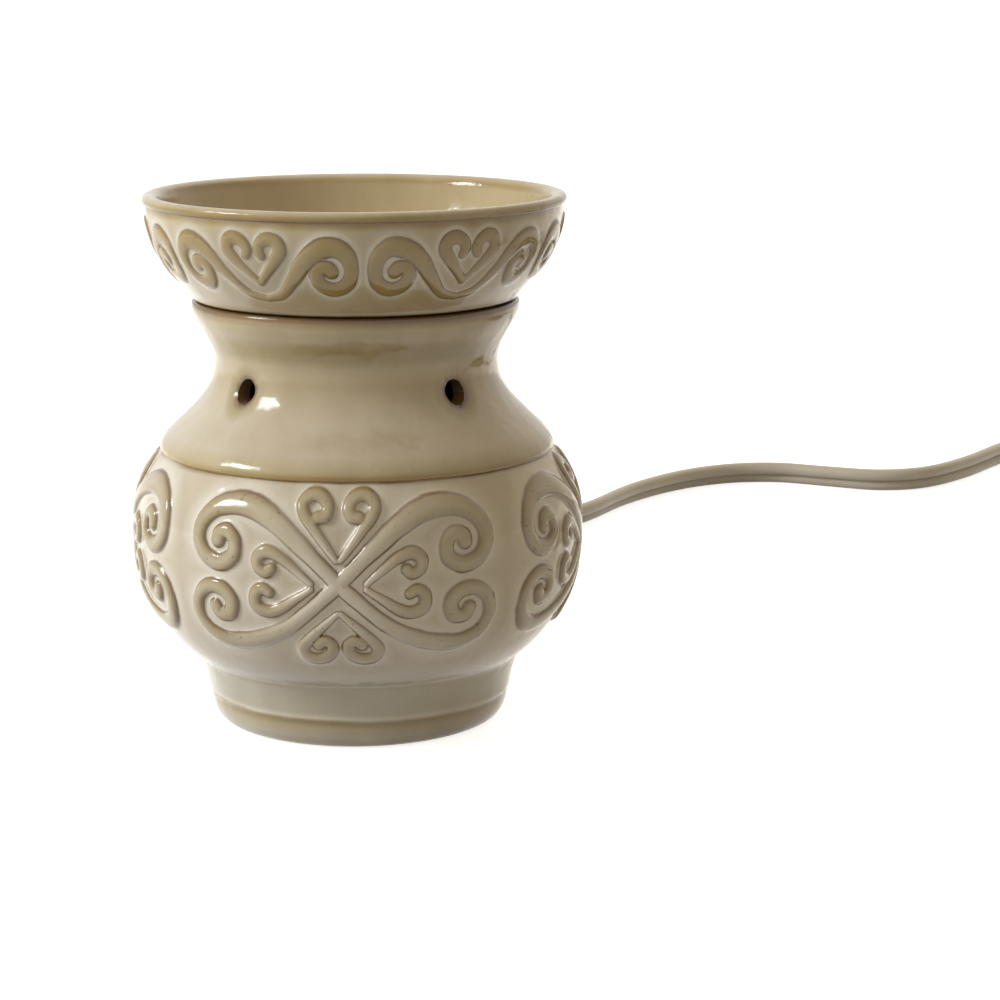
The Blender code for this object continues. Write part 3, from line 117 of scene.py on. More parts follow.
class Graph:
    """A node tree that nodes are added to and linked by name."""

    def __init__(self, tree: bpy.types.NodeTree) -> None:
        """Starts with a tree that the nodes go in."""
        self.tree = tree

    def add(self, kind: str, inputs: dict[Any, Any] | None = None, **settings: Any) -> bpy.types.Node:
        """Adds one node.

        Args:
            kind: the node's type name.
            inputs: socket name or number to a value, or to an output that is linked to it.
            settings: the node's own properties.

        Returns:
            The new node.
        """
        node = self.tree.nodes.new(kind)
        for name, value in settings.items():
            setattr(node, name, value)
        for key, value in (inputs or {}).items():
            if isinstance(value, Socket):
                self.tree.links.new(value, node.inputs[key])
            else:
                node.inputs[key].default_value = value
        return node

    def math(self, operation: str, *values: Any) -> Socket:
        """The result of one sum on numbers or outputs."""
        return self.add("ShaderNodeMath", dict(enumerate(values)), operation=operation).outputs[0]

    def total(self, *values: Any) -> Socket:
        """Numbers or outputs added up."""
        return reduce(lambda first, second: self.math("ADD", first, second), values)

    def product(self, *values: Any) -> Socket:
        """Numbers or outputs multiplied."""
        return reduce(lambda first, second: self.math("MULTIPLY", first, second), values)

    def minus(self, value: Any, less: Any) -> Socket:
        """One number or output less another."""
        return self.math("SUBTRACT", value, less)

    def share(self, value: Any, whole: Any) -> Socket:
        """One number or output divided by another."""
        return self.math("DIVIDE", value, whole)

    def split(self, vector: Any) -> Sequence[Socket]:
        """The three parts of a vector."""
        return self.add("ShaderNodeSeparateXYZ", {0: vector}).outputs

    def join(self, x: Any, y: Any, z: Any) -> Socket:
        """A vector of three parts."""
        return self.add("ShaderNodeCombineXYZ", {0: x, 1: y, 2: z}).outputs[0]

    def remap(self, value: Any, low: Any, high: Any, to_low: Any = 0.0, to_high: Any = 1.0) -> Socket:
        """The value carried smoothly from low..high to to_low..to_high."""
        inputs = dict(enumerate((value, low, high, to_low, to_high)))
        return self.add("ShaderNodeMapRange", inputs, interpolation_type="SMOOTHSTEP").outputs[0]


class GeometryGraph(Graph):
    """A geometry node tree with named inputs."""

    def __init__(self, name: str, inputs: dict[str, str]) -> None:
        """Starts the tree.

        Args:
            name: the tree's name.
            inputs: each input's name and kind, such as Float.
        """
        super().__init__(bpy.data.node_groups.new(name, "GeometryNodeTree"))
        for label, kind in inputs.items():
            self.tree.interface.new_socket(label, in_out="INPUT", socket_type=f"NodeSocket{kind}")
        self.tree.interface.new_socket("Geometry", in_out="OUTPUT", socket_type="NodeSocketGeometry")
        self.given = self.tree.nodes.new("NodeGroupInput").outputs
        self.position = self.add("GeometryNodeInputPosition").outputs[0]

    def shape_of(self, label: str) -> Socket:
        """The geometry of an object input."""
        return self.add("GeometryNodeObjectInfo", {"Object": self.given[label]}).outputs["Geometry"]

    def named(self, label: str) -> Socket:
        """A stored number by its name."""
        node = self.add("GeometryNodeInputNamedAttribute", {"Name": label}, data_type="FLOAT")
        return node.outputs["Attribute"]

    def sample(self, geometry: Any, value: Any, index: Any, kind: str = "FLOAT") -> Socket:
        """The value at one point of a geometry."""
        inputs = {"Geometry": geometry, "Value": value, "Index": index}
        return self.add("GeometryNodeSampleIndex", inputs, data_type=kind, domain="POINT").outputs[0]

    def store(self, geometry: Any, label: str, value: Any) -> Socket:
        """Keeps a number at each point of a geometry.

        Args:
            geometry: the geometry.
            label: the name that the number is kept under.
            value: the number.

        Returns:
            The geometry with the number.
        """
        inputs = {"Geometry": geometry, "Name": label, "Value": value}
        node = self.add("GeometryNodeStoreNamedAttribute", inputs, data_type="FLOAT", domain="POINT")
        return node.outputs[0]

    def moved(self, geometry: Any, place: Any) -> Socket:
        """The geometry with its points set to new places."""
        return self.add("GeometryNodeSetPosition", {"Geometry": geometry, "Position": place}).outputs[0]

    def welded(self, geometry: Any) -> Socket:
        """The geometry with points in one place made one."""
        return self.add("GeometryNodeMergeByDistance", {"Geometry": geometry, "Distance": WELD}).outputs[0]

    def lathe(self) -> tuple[Socket, Socket, Socket, Socket]:
        """Lays out a turned shape from the inputs Profile and Columns.

        Returns:
            The profile, a grid with a row for each of its points, and each grid point's row and column.
        """
        profile = self.shape_of("Profile")
        size = self.add("GeometryNodeAttributeDomainSize", {0: profile}, component="MESH")
        rows = size.outputs["Point Count"]
        columns = self.total(self.given["Columns"], 1.0)
        grid = self.add("GeometryNodeMeshGrid", {"Vertices X": columns, "Vertices Y": rows}).outputs["Mesh"]
        index = self.add("GeometryNodeInputIndex").outputs[0]
        row, column = (
            self.add("FunctionNodeIntegerMath", {0: index, 1: rows}, operation=part).outputs[0]
            for part in ("MODULO", "DIVIDE")
        )
        return profile, grid, row, column

    def azimuth(self, column: Socket) -> Socket:
        """The angle of a column round the axis."""
        return self.product(self.share(column, self.given["Columns"]), math.tau)

    def ring_point(self, radius: Socket, azimuth: Socket, height: Socket) -> Socket:
        """The place at a radius, an angle round the axis from the front, and a height."""
        x, y = (self.product(radius, self.math(part, azimuth)) for part in ("SINE", "COSINE"))
        return self.join(x, self.product(y, -1.0), height)

    def distance_to(self, target: Any, place: Any) -> Socket:
        """Measures how far a place lies from a geometry's faces.

        Args:
            target: the geometry.
            place: the place.

        Returns:
            The distance, a metre or more where there are no faces.
        """
        inputs = {0: target, "Sample Position": place}
        near = self.add("GeometryNodeProximity", inputs, target_element="FACES").outputs
        return self.total(near["Distance"], self.minus(1.0, near["Is Valid"]))

    def close(self, geometry: Any) -> None:
        """Ends the tree: shaded smooth, instances made real, the material set.

        Args:
            geometry: what the tree gives out.
        """
        smooth = self.add("GeometryNodeSetShadeSmooth", {"Geometry": geometry}).outputs[0]
        real = self.add("GeometryNodeRealizeInstances", {"Geometry": smooth}).outputs[0]
        inputs = {"Geometry": real, "Material": self.given["Material"]}
        painted = self.add("GeometryNodeSetMaterial", inputs).outputs[0]
        self.tree.links.new(painted, self.tree.nodes.new("NodeGroupOutput").inputs[0])


class TurnedRelief(GeometryGraph):
    """Tree of a turned shape with an ornament raised on it, repeated round the axis, and holes cut through.

    The profile is a row of (radius, 0, height) points. The ornament is two sets of points laid out flat,
    each with a half width. Where each point of the surface lies across the nearest stroke is kept in
    "scroll", and how far along it in "along". A row of the profile with "thinned" above 1 keeps only one
    column in that many.
    """

    STROKE_FOOT = 1.22  # where a stroke's flank starts, in half widths
    STROKE_BLEND = 0.8  # how softly a scroll and a heart run into each other
    BARE_ROUND_HOLE = (7.0 * MM, 9.4 * MM)  # the ornament fades out between these distances
    ROUNDING = 1.6  # how far a hole's edge is rounded, in softenings

    def __init__(self) -> None:
        """Builds the tree."""
        super().__init__(
            "turned_relief",
            {
                "Profile": "Object", "Scrolls": "Object", "Hearts": "Object", "Cutters": "Object",
                "Columns": "Int", "Units": "Int", "Turn": "Float", "Flat Radius": "Float", "Relief": "Float",
                "Crest": "Float", "Crown": "Float", "Softening": "Float", "Material": "Material",
            },
        )
        given = self.given
        cutters = self.shape_of("Cutters")
        profile, grid, row, fine = self.lathe()
        turned, _, height = self.split(self.sample(profile, self.position, row, "FLOAT_VECTOR"))
        labels = ("band", "inner", "thinned")
        band, inner, thinned = (self.sample(profile, self.named(label), row) for label in labels)
        azimuth = self.azimuth(self.minus(fine, self.math("MODULO", fine, thinned)))
        scroll, along = self.nearest_stroke(self.unrolled(azimuth, height))

        clear = self.distance_to(cutters, self.ring_point(turned, azimuth, height))
        on_band = self.product(band, self.remap(clear, *self.BARE_ROUND_HOLE))
        crown = self.minus(1.0, self.product(self.math("POWER", scroll, 2.0), given["Crown"]))
        flank = self.remap(scroll, self.STROKE_FOOT, given["Crest"])
        raised = self.product(self.product(flank, self.math("MAXIMUM", crown, 0.0)), on_band)
        bare = self.remap(self.share(clear, given["Softening"]), self.ROUNDING, 0.0)
        sunk = self.product(bare, given["Softening"], self.minus(1.0, inner))
        swollen = self.total(turned, self.product(raised, given["Relief"]))
        radius = self.minus(swollen, self.product(sunk, 0.5))

        shape = self.moved(grid, self.ring_point(radius, azimuth, height))
        for label, value in (("scroll", scroll), ("along", along), ("band", on_band), ("inner", inner)):
            shape = self.store(shape, label, value)
        meshes = {"Mesh 1": self.welded(shape), "Mesh 2": cutters}
        holed = self.add("GeometryNodeMeshBoolean", meshes, operation="DIFFERENCE", solver="EXACT").outputs[0]
        self.close(self.store(holed, "hole", self.distance_to(cutters, self.position)))

    def unrolled(self, azimuth: Socket, height: Socket) -> Socket:
        """Lays the surface out flat, folded at the axis of each motif.

        Args:
            azimuth: the angle round the axis.
            height: the height.

        Returns:
            The place beside the motif's axis.
        """
        half_unit = self.share(math.pi, self.given["Units"])
        from_axis = self.minus(azimuth, self.given["Turn"])
        wrapped = self.math("WRAP", from_axis, half_unit, self.product(half_unit, -1.0))
        across = self.product(self.math("ABSOLUTE", wrapped), self.given["Flat Radius"])
        return self.join(across, 0.0, height)

    def on_strokes(self, label: str, flat: Socket) -> tuple[Socket, Socket]:
        """Finds the nearest stroke of a set.

        Args:
            label: the input that holds the strokes.
            flat: the place on the flat surface.

        Returns:
            How far the place lies across the stroke, 1 at its edge, and how far along it.
        """
        strokes = self.shape_of(label)
        nearest = self.add("GeometryNodeSampleNearest", {0: strokes, 1: flat}, domain="POINT").outputs[0]
        on_stroke = self.sample(strokes, self.position, nearest, "FLOAT_VECTOR")
        half_width, along = (self.sample(strokes, self.named(n), nearest) for n in ("half_width", "along"))
        ends = {0: flat, 1: on_stroke}
        distance = self.add("ShaderNodeVectorMath", ends, operation="DISTANCE").outputs["Value"]
        return self.share(distance, half_width), along

    def nearest_stroke(self, flat: Socket) -> tuple[Socket, Socket]:
        """Finds the nearest stroke of both sets.

        Args:
            flat: the place on the flat surface.

        Returns:
            How far the place lies across it and along it.
        """
        on_scroll, along_scroll = self.on_strokes("Scrolls", flat)
        on_heart, along_heart = self.on_strokes("Hearts", flat)
        nearer = self.math("LESS_THAN", on_heart, on_scroll)
        either = {0: nearer, 2: along_scroll, 3: along_heart}
        along = self.add("ShaderNodeMix", either, data_type="FLOAT").outputs[0]
        return self.math("SMOOTH_MIN", on_scroll, on_heart, self.STROKE_BLEND), along


class CordSweep(GeometryGraph):
    """Tree of a flat two-core cord laid along a line, turned about it by the line's own tilt."""

    SIDES = 56

    def __init__(self) -> None:
        """Builds the tree."""
        inputs = {
            "Route": "Object", "Width": "Float", "Thickness": "Float", "Web": "Float",
            "Material": "Material",
        }
        super().__init__("flat_cord", inputs)
        width, thickness = self.given["Width"], self.given["Thickness"]
        line = self.add("GeometryNodeSetCurveNormal", {0: self.shape_of("Route")}, mode="Z_UP").outputs[0]
        unit_circle = {"Resolution": self.SIDES, "Radius": 1.0}
        circle = self.add("GeometryNodeCurvePrimitiveCircle", unit_circle).outputs[0]
        across, up, _ = self.split(self.position)
        lobe = self.product(thickness, 0.5)
        x = self.product(across, self.product(width, 0.5))
        centre = self.product(self.minus(width, thickness), 0.5)
        aside = self.math("ABSOLUTE", x)
        off = self.share(self.minus(aside, centre), lobe)
        rise = self.math("SQRT", self.math("MAXIMUM", self.minus(1.0, self.math("POWER", off, 2.0)), 0.0))
        web = self.product(self.given["Web"], self.math("LESS_THAN", aside, centre))
        high = self.product(self.math("MAXIMUM", rise, web), lobe)
        outline = self.moved(circle, self.join(x, self.product(high, self.math("SIGN", up)), 0.0))
        curves = {"Curve": line, "Profile Curve": outline, "Fill Caps": True}
        self.close(self.add("GeometryNodeCurveToMesh", curves).outputs[0])


class RibbedTurning(GeometryGraph):
    """Tree of a small turned piece with ribs along it.

    The profile is a row of (radius, 0, height) points, and "rib" is each point's share of the ribs' depth.
    """

    def __init__(self) -> None:
        """Builds the tree."""
        inputs = {
            "Profile": "Object", "Columns": "Int", "Ribs": "Float", "Depth": "Float",
            "Material": "Material",
        }
        super().__init__("ribbed_turning", inputs)
        profile, grid, row, column = self.lathe()
        turned, _, height = self.split(self.sample(profile, self.position, row, "FLOAT_VECTOR"))
        azimuth = self.azimuth(column)
        wave = self.math("COSINE", self.product(azimuth, self.given["Ribs"]))
        dip = self.product(self.minus(wave, 1.0), self.product(self.given["Depth"], 0.5))
        radius = self.total(turned, self.product(dip, self.sample(profile, self.named("rib"), row)))
        self.close(self.welded(self.moved(grid, self.ring_point(radius, azimuth, height))))


def show(name: str, data: Any) -> bpy.types.Object:
    """Puts a new object in the scene.

    Args:
        name: the object's name.
        data: its mesh, curve, lamp or camera.

    Returns:
        The new object.
    """
    obj = bpy.data.objects.new(name, data)
    bpy.context.scene.collection.objects.link(obj)
    return obj


def drop(*objects: bpy.types.Object) -> None:
    """Takes helper objects out again."""
    for obj in objects:
        bpy.data.objects.remove(obj, do_unlink=True)


@cache
def tree_of(kind: type[GeometryGraph]) -> bpy.types.NodeTree:
    """The tree of a kind, made once."""
    return kind().tree


@cache
def look(slot: Slot) -> bpy.types.Material:
    """The material of a slot, made once."""
    return next(finish for finish in FINISHES if finish.slot is slot).build()


def grown(name: str, kind: type[GeometryGraph], values: dict[str, Any]) -> bpy.types.Object:
    """Grows a plain mesh object by a tree.

    Args:
        name: the new object's name.
        kind: the tree's kind.
        values: what each of the tree's inputs is set to.

    Returns:
        The object, with no modifier left on it.
    """
    tree = tree_of(kind)
    obj = show(name, bpy.data.meshes.new(name))
    modifier = obj.modifiers.new(tree.name, "NODES")
    modifier.node_group = tree
    for item in tree.interface.items_tree:
        if item.in_out == "INPUT" and item.name in values:
            modifier[item.identifier] = values[item.name]
    evaluated = obj.evaluated_get(bpy.context.evaluated_depsgraph_get())
    mesh = bpy.data.meshes.new_from_object(evaluated)
    obj.modifiers.clear()
    obj.data = mesh
    mesh.name = name
    log.info("%s: %d faces", name, len(mesh.polygons))
    return obj


def placed(piece: bpy.types.Object, body: Body, slot: Slot, *nodes: str) -> None:
    """Puts a piece on its body and hides the CAD nodes that it stands for.

    Args:
        piece: the piece.
        body: what it rides on.
        slot: the record's slot of the piece; not used.
        nodes: the CAD nodes that it replaces.
    """
    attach(piece, body.value)
    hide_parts(*nodes)


def point_mesh(name: str, points: Sequence[Sequence[float]], **values: Sequence[float]) -> bpy.types.Object:
    """Makes loose points as a helper mesh.

    Args:
        name: the helper's name.
        points: where the points are.
        values: numbers kept at the points, by name.

    Returns:
        The helper object.
    """
    mesh = bpy.data.meshes.new(name)
    mesh.from_pydata([tuple(p) for p in points], [], [])
    for label, numbers in values.items():
        mesh.attributes.new(label, "FLOAT", "POINT").data.foreach_set("value", list(numbers))
    return show(name, mesh)


def smooth_line(stations: Sequence[Sequence[float]], per_span: int) -> np.ndarray:
    """Draws a smooth line through stations.

    Args:
        stations: points of any number of values.
        per_span: how many points go from one station to the next.

    Returns:
        The line's points.
    """
    given = np.array(stations, float)
    ends = np.vstack([2 * given[0] - given[1], given, 2 * given[-1] - given[-2]])
    share = (np.arange(per_span) / per_span)[:, None]
    runs = []
    for before, start, end, after in zip(ends, ends[1:], ends[2:], ends[3:]):
        bend = 2 * before - 5 * start + 4 * end - after
        twist = 3 * (start - end) + after - before
        runs.append(0.5 * (2 * start + (end - before) * share + bend * share**2 + twist * share**3))
    return np.vstack([*runs, given[-1:]])


def even_line(line: np.ndarray, step: float) -> np.ndarray:
    """Spaces a line's points evenly.

    Args:
        line: points whose first three values are their place.
        step: about how far apart they are to lie.

    Returns:
        The evenly spaced points.
    """
    along = np.concatenate([[0], np.cumsum(np.linalg.norm(np.diff(line[:, :3], axis=0), axis=1))])
    at = np.linspace(0, along[-1], round(along[-1] / step) + 1)
    return np.stack([np.interp(at, along, line[:, k]) for k in range(line.shape[1])], axis=1)


def beside(point: Point2, across: float, up: float) -> Point2:
    """The point this many mm further out and up."""
    return point[0] + across * MM, point[1] + up * MM


def bezier(start: Point2, leave: Point2, arrive: Point2, end: Point2, count: int) -> list[Point2]:
    """Draws a cubic curve.

    Args:
        start: its first point.
        leave: its first handle, in mm from the first point.
        arrive: its second handle, in mm from the last point.
        end: its last point.
        count: how many steps it has.

    Returns:
        Its points, both ends included.
    """
    t = np.linspace(0, 1, count + 1)[:, None]
    weights = ((1 - t) ** 3, 3 * t * (1 - t) ** 2, 3 * t * t * (1 - t), t**3)
    corners = (start, beside(start, *leave), beside(end, *arrive), end)
    return [tuple(p) for p in sum(w * np.array(c) for w, c in zip(weights, corners))]


def levelling(start: Point2, end: Point2, power: float, count: int) -> list[Point2]:
    """Draws a line whose radius changes fast at the start and levels off at the end.

    Args:
        start: its first radius and height.
        end: its last radius and height.
        power: how fast the radius changes at first.
        count: how many steps it has.

    Returns:
        Its (radius, height) points.
    """
    t = np.linspace(0, 1, count + 1)
    radius = start[0] + (end[0] - start[0]) * (1 - (1 - t) ** power)
    return list(zip(radius, start[1] + (end[1] - start[1]) * t))


def offset_inwards(points: Sequence[Point2], distance: float) -> list[Point2]:
    """Moves a rising line towards the axis, at right angles to itself.

    Args:
        points: its (radius, height) points.
        distance: how far it is moved.

    Returns:
        The moved points.
    """
    line = np.array(points)
    along = np.gradient(line, axis=0)
    along /= np.linalg.norm(along, axis=1)[:, None]
    return [tuple(p) for p in line + distance * np.stack([-along[:, 1], along[:, 0]], axis=1)]


def rod(bm: bmesh.types.BMesh, radius: float, start: Vector, end: Vector, sides: int) -> None:
    """Adds a closed rod between two points.

    Args:
        bm: the mesh that it is added to.
        radius: its radius.
        start: the middle of its first end.
        end: the middle of its second end.
        sides: how many sides it has.
    """
    along = end - start
    turn = along.to_track_quat("Z", "Y").to_matrix().to_4x4()
    sizes = {"segments": sides, "radius1": radius, "radius2": radius, "depth": along.length}
    made = bmesh.ops.create_cone(bm, cap_ends=True, **sizes)
    bmesh.ops.transform(bm, matrix=turn, verts=made["verts"])
    bmesh.ops.translate(bm, vec=(start + end) / 2, verts=made["verts"])


class Paint(Graph):
    """A material's nodes, over the object's own coordinates."""

    def __init__(self, name: str) -> None:
        """Starts the material.

        Args:
            name: the material's name.
        """
        self.material = bpy.data.materials.new(name)
        self.material.use_nodes = True
        super().__init__(self.material.node_tree)
        self.shader = self.tree.nodes["Principled BSDF"]
        self.place = self.add("ShaderNodeTexCoord").outputs["Object"]

    def noise(self, scale: float, detail: float = 3.0, place: Any = None) -> Socket:
        """Soft noise over the object, with this many waves in a metre."""
        inputs = {"Vector": place or self.place, "Scale": scale, "Detail": detail}
        return self.add("ShaderNodeTexNoise", inputs).outputs[0]

    def ramp(self, value: Any, stops: Sequence[Stop], reach: float = 1.0) -> bpy.types.Node:
        """Adds a ramp of colours.

        Args:
            value: what the colour follows.
            stops: each colour with its place and its cover.
            reach: the value at the ramp's end, in which the places are given too.

        Returns:
            The ramp.
        """
        node = self.add("ShaderNodeValToRGB", {"Fac": value if reach == 1.0 else self.share(value, reach)})
        elements = node.color_ramp.elements
        while len(elements) < len(stops):
            elements.new(1.0)
        for element, (at, colour, cover) in zip(elements, stops):
            element.position = at / reach
            element.color = (*colour, cover)
        return node

    def mix(self, fac: Any, under: Any, over: Any, blend: str = "MIX") -> Socket:
        """One colour laid over another."""
        inputs = {0: fac, 6: self.full(under), 7: self.full(over)}
        return self.add("ShaderNodeMix", inputs, data_type="RGBA", blend_type=blend).outputs[2]

    def covered(self, under: Any, ramp: bpy.types.Node, *shares: Any) -> Socket:
        """A colour with a ramp's colours laid over it, by the ramp's cover and further shares."""
        return self.mix(self.product(ramp.outputs["Alpha"], *shares), under, ramp.outputs[0])

    @staticmethod
    def full(colour: Any) -> Any:
        """A colour with its fourth number, or an output as it is."""
        return colour if isinstance(colour, Socket) else (*colour, 1.0)

    def attribute(self, label: str) -> Socket:
        """A number kept at the mesh's points."""
        return self.add("ShaderNodeAttribute", attribute_name=label).outputs["Fac"]

    def link(self, output: Socket, label: str) -> None:
        """Feeds one of the shader's inputs."""
        self.tree.links.new(output, self.shader.inputs[label])

    def bump(self, height: Socket, depth: float) -> None:
        """Unevenness of the surface, this deep."""
        node = self.add("ShaderNodeBump", {"Height": height, "Strength": 1.0, "Distance": depth})
        self.link(node.outputs[0], "Normal")


@dataclass(frozen=True)
class Finish:
    """A plain finish: its colour and shine vary a little over the surface."""

    slot: Slot
    colour: Colour
    roughness: float
    metallic: float = 0.0
    grain: float = 900.0
    depth: float = 0.02 * MM
    variation: float = 0.10
    transmission: float = 0.0
    patch: float = 12.0  # how much wider than the grain the patches of colour are
    spread: Point2 = (0.3, 0.7)  # where most values of the noise lie

    def build(self) -> bpy.types.Material:
        """Builds the nodes.

        Returns:
            The material.
        """
        paint = Paint(f"look_{self.slot.value}")
        wide, fine = paint.noise(self.grain / self.patch), paint.noise(self.grain, 5.0)
        dark = tuple(c * (1 - self.variation) for c in self.colour)
        light = tuple(min(1.0, c * (1 + self.variation)) for c in self.colour)
        low, high = self.spread
        paint.link(paint.ramp(wide, [(low, dark, 1.0), (high, light, 1.0)]).outputs[0], "Base Color")
        paint.link(paint.remap(fine, low, high, 0.8 * self.roughness, 1.2 * self.roughness), "Roughness")
        paint.shader.inputs["Metallic"].default_value = self.metallic
        paint.shader.inputs["Transmission Weight"].default_value = self.transmission
        paint.bump(fine, self.depth)
        return paint.material


@dataclass(frozen=True)
class Glaze:
    """A glossy glaze that thins to tan on edges and pools white beside the raised ornament.

    Heights are in metres; each zone is a height and the tint painted there, mostly the glaze's own and in a
    few zones partly painted shade and highlight.
    Waves are how many of them lie in a metre.
    """

    name: str
    zones: tuple[tuple[float, Tint], ...]
    lining: tuple[tuple[float, Tint], ...]
    stroke: Tint
    pale_start: float
    bloom: float
    crest_cover: float
    # painted shade: the outside darkens to this colour towards +X, away from the key lamp, over this reach
    painted_shade_right: Colour = (0.87, 0.83, 0.72)
    painted_shade_reach: Point2 = (2.0 * MM, 46.0 * MM)
    cloud: Colour = (0.91, 0.89, 0.85)
    run: Colour = (0.92, 0.90, 0.87)
    run_stretch: Point3 = (1.0, 1.0, 0.13)
    patch_waves: float = 38.0
    blotch_waves: float = 75.0
    run_waves: float = 110.0
    ripple_waves: float = 150.0
    speck_waves: float = 260.0
    pinhole_waves: float = 900.0
    ripple: float = 0.26 * MM
    drift: float = 2.0 * MM  # how far zones wander up and down
    waver: float = 0.25  # how far the edge of a stroke wanders, in half widths
    rim: float = 4.0 * MM  # how far the brown round a hole reaches
    roughness: float = 0.14
    refraction: float = 1.52

    @staticmethod
    def height_ramp(paint: Paint, height: Any, zones: Sequence[tuple[float, Tint]]) -> Socket:
        """Colours by height.

        Args:
            paint: the material's nodes.
            height: the height.
            zones: heights with their tints.

        Returns:
            The colour.
        """
        low, high = zones[0][0], zones[-1][0]
        share = paint.add("ShaderNodeMapRange", {0: height, 1: low, 2: high}).outputs[0]
        stops = [((z - low) / (high - low), tint.value, 1.0) for z, tint in zones]
        return paint.ramp(share, stops).outputs[0]

    def ornamented(self, paint: Paint, ground: Socket, patches: Socket, specks: Socket) -> Socket:
        """Colours the ornament: tan strokes with dark edges, a pale rim of pooled glaze, and pinholes.

        Args:
            paint: the material's nodes.
            ground: the colour under it.
            patches: wide unevenness.
            specks: fine unevenness.

        Returns:
            The colour.
        """
        tan, ochre, brown, pool = (tint.value for tint in (self.stroke, Tint.OCHRE, Tint.BROWN, Tint.POOL))
        scroll, band = paint.attribute("scroll"), paint.attribute("band")
        colour = paint.mix(paint.product(paint.remap(scroll, 3.4, 1.2), band, self.bloom), ground, pool)
        across = paint.total(scroll, paint.product(paint.minus(specks, 0.5), self.waver))
        blotches = paint.remap(paint.noise(self.blotch_waves, 4.0), 0.30, 0.68, 0.70, 1.0)
        begun = paint.remap(paint.attribute("along"), 0.02, 0.40, self.pale_start, 1.0)
        fill = [(0.0, tan, self.crest_cover), (0.72, tan, 0.96), (0.88, ochre, 0.9), (1.04, ochre, 0.0)]
        colour = paint.covered(colour, paint.ramp(across, fill, 2.0), blotches, begun, band)
        edge = [
            (0.60, ochre, 0.0), (0.82, ochre, 0.45), (0.94, brown, 0.85), (1.06, brown, 0.70),
            (1.14, pool, 0.75), (1.22, pool, 0.92), (1.46, pool, 0.80), (1.68, pool, 0.28),
            (2.00, pool, 0.0),
        ]
        patchy = paint.remap(patches, 0.30, 0.62, 0.50, 1.0)
        colour = paint.covered(colour, paint.ramp(across, edge, 2.4), patchy, band)
        pinholes = paint.remap(paint.noise(self.pinhole_waves, 2.0), 0.66, 0.74)
        return paint.mix(paint.product(pinholes, paint.remap(scroll, 1.5, 1.0), band, 0.5), colour, brown)

    def marked_and_shaded(self, paint: Paint, colour: Socket, patches: Socket, aside: Socket) -> Socket:
        """Adds what the glaze does round holes, in clouds and in runs, and painted shade that darkens the
        outside towards +X, away from the key lamp.

        Args:
            paint: the material's nodes.
            colour: the colour so far.
            patches: wide unevenness.
            aside: how far to the right the place lies.

        Returns:
            The colour.
        """
        tan, brown = self.stroke.value, Tint.BROWN.value
        outside = paint.minus(1.0, paint.attribute("inner"))
        rims = [
            (0.0, brown, 0.9), (0.12 * self.rim, brown, 0.8), (0.35 * self.rim, tan, 0.8),
            (self.rim, tan, 0.0),
        ]
        colour = paint.covered(colour, paint.ramp(paint.attribute("hole"), rims, self.rim), outside)
        stretched = {0: paint.place, 1: self.run_stretch}
        place = paint.add("ShaderNodeVectorMath", stretched, operation="MULTIPLY").outputs["Vector"]
        runs = paint.noise(self.run_waves, 4.0, place)
        for noise, shade in ((patches, self.cloud), (runs, self.run)):
            cloud = paint.ramp(noise, [(0.32, shade, 1.0), (0.62, WHITE, 1.0)])
            colour = paint.mix(1.0, colour, cloud.outputs[0], "MULTIPLY")
        # painted shade: the outside is multiplied darker and warmer towards +X, the side away from the key
        # lamp
        sides = [(0.0, WHITE, 1.0), (1.0, self.painted_shade_right, 1.0)]
        shaded_right = paint.ramp(paint.remap(aside, *self.painted_shade_reach), sides)
        return paint.mix(outside, colour, shaded_right.outputs[0], "MULTIPLY")

    def build(self) -> bpy.types.Material:
        """Builds the nodes.

        Returns:
            The material.
        """
        paint = Paint(self.name)
        aside, _, height = paint.split(paint.place)
        patches, specks = (paint.noise(waves, 4.0) for waves in (self.patch_waves, self.speck_waves))
        uneven = paint.total(height, paint.product(paint.minus(patches, 0.5), self.drift))
        ground, lining = (self.height_ramp(paint, uneven, zones) for zones in (self.zones, self.lining))
        colour = paint.mix(paint.attribute("inner"), ground, lining)
        colour = self.ornamented(paint, colour, patches, specks)
        paint.link(self.marked_and_shaded(paint, colour, patches, aside), "Base Color")
        paint.link(paint.remap(specks, 0.25, 0.75, 0.7 * self.roughness, 1.3 * self.roughness), "Roughness")
        paint.shader.inputs["IOR"].default_value = self.refraction
        paint.bump(paint.noise(self.ripple_waves, 2.0), self.ripple)
        return paint.material


@dataclass(frozen=True)
class Ornament:
    """Half of a symmetrical motif, repeated round a turned shape.

    Each stroke is a list of (degrees from the motif's axis, height mm, half width mm) stations.
    """

    scrolls: tuple[tuple[Point3, ...], ...]
    hearts: tuple[tuple[Point3, ...], ...]
    units: int
    turn: float
    flat_radius: float
    relief: float
    crest: float
    crown: float
    span_points: int = 30

    def points(self, strokes: Sequence[Sequence[Point3]]) -> bpy.types.Object:
        """Lays strokes out flat.

        Args:
            strokes: the scrolls or the hearts.

        Returns:
            A helper of points, each with its half width and how far along its stroke it lies.
        """
        runs = [smooth_line(stroke, self.span_points) for stroke in strokes]
        along = np.concatenate([np.linspace(0, 1, len(run)) for run in runs])
        angle, height, half_width = np.vstack(runs).T
        flat = np.stack([np.radians(angle) * self.flat_radius, 0 * angle, height * MM], axis=1)
        return point_mesh("ornament_points", flat, half_width=half_width * MM, along=along)


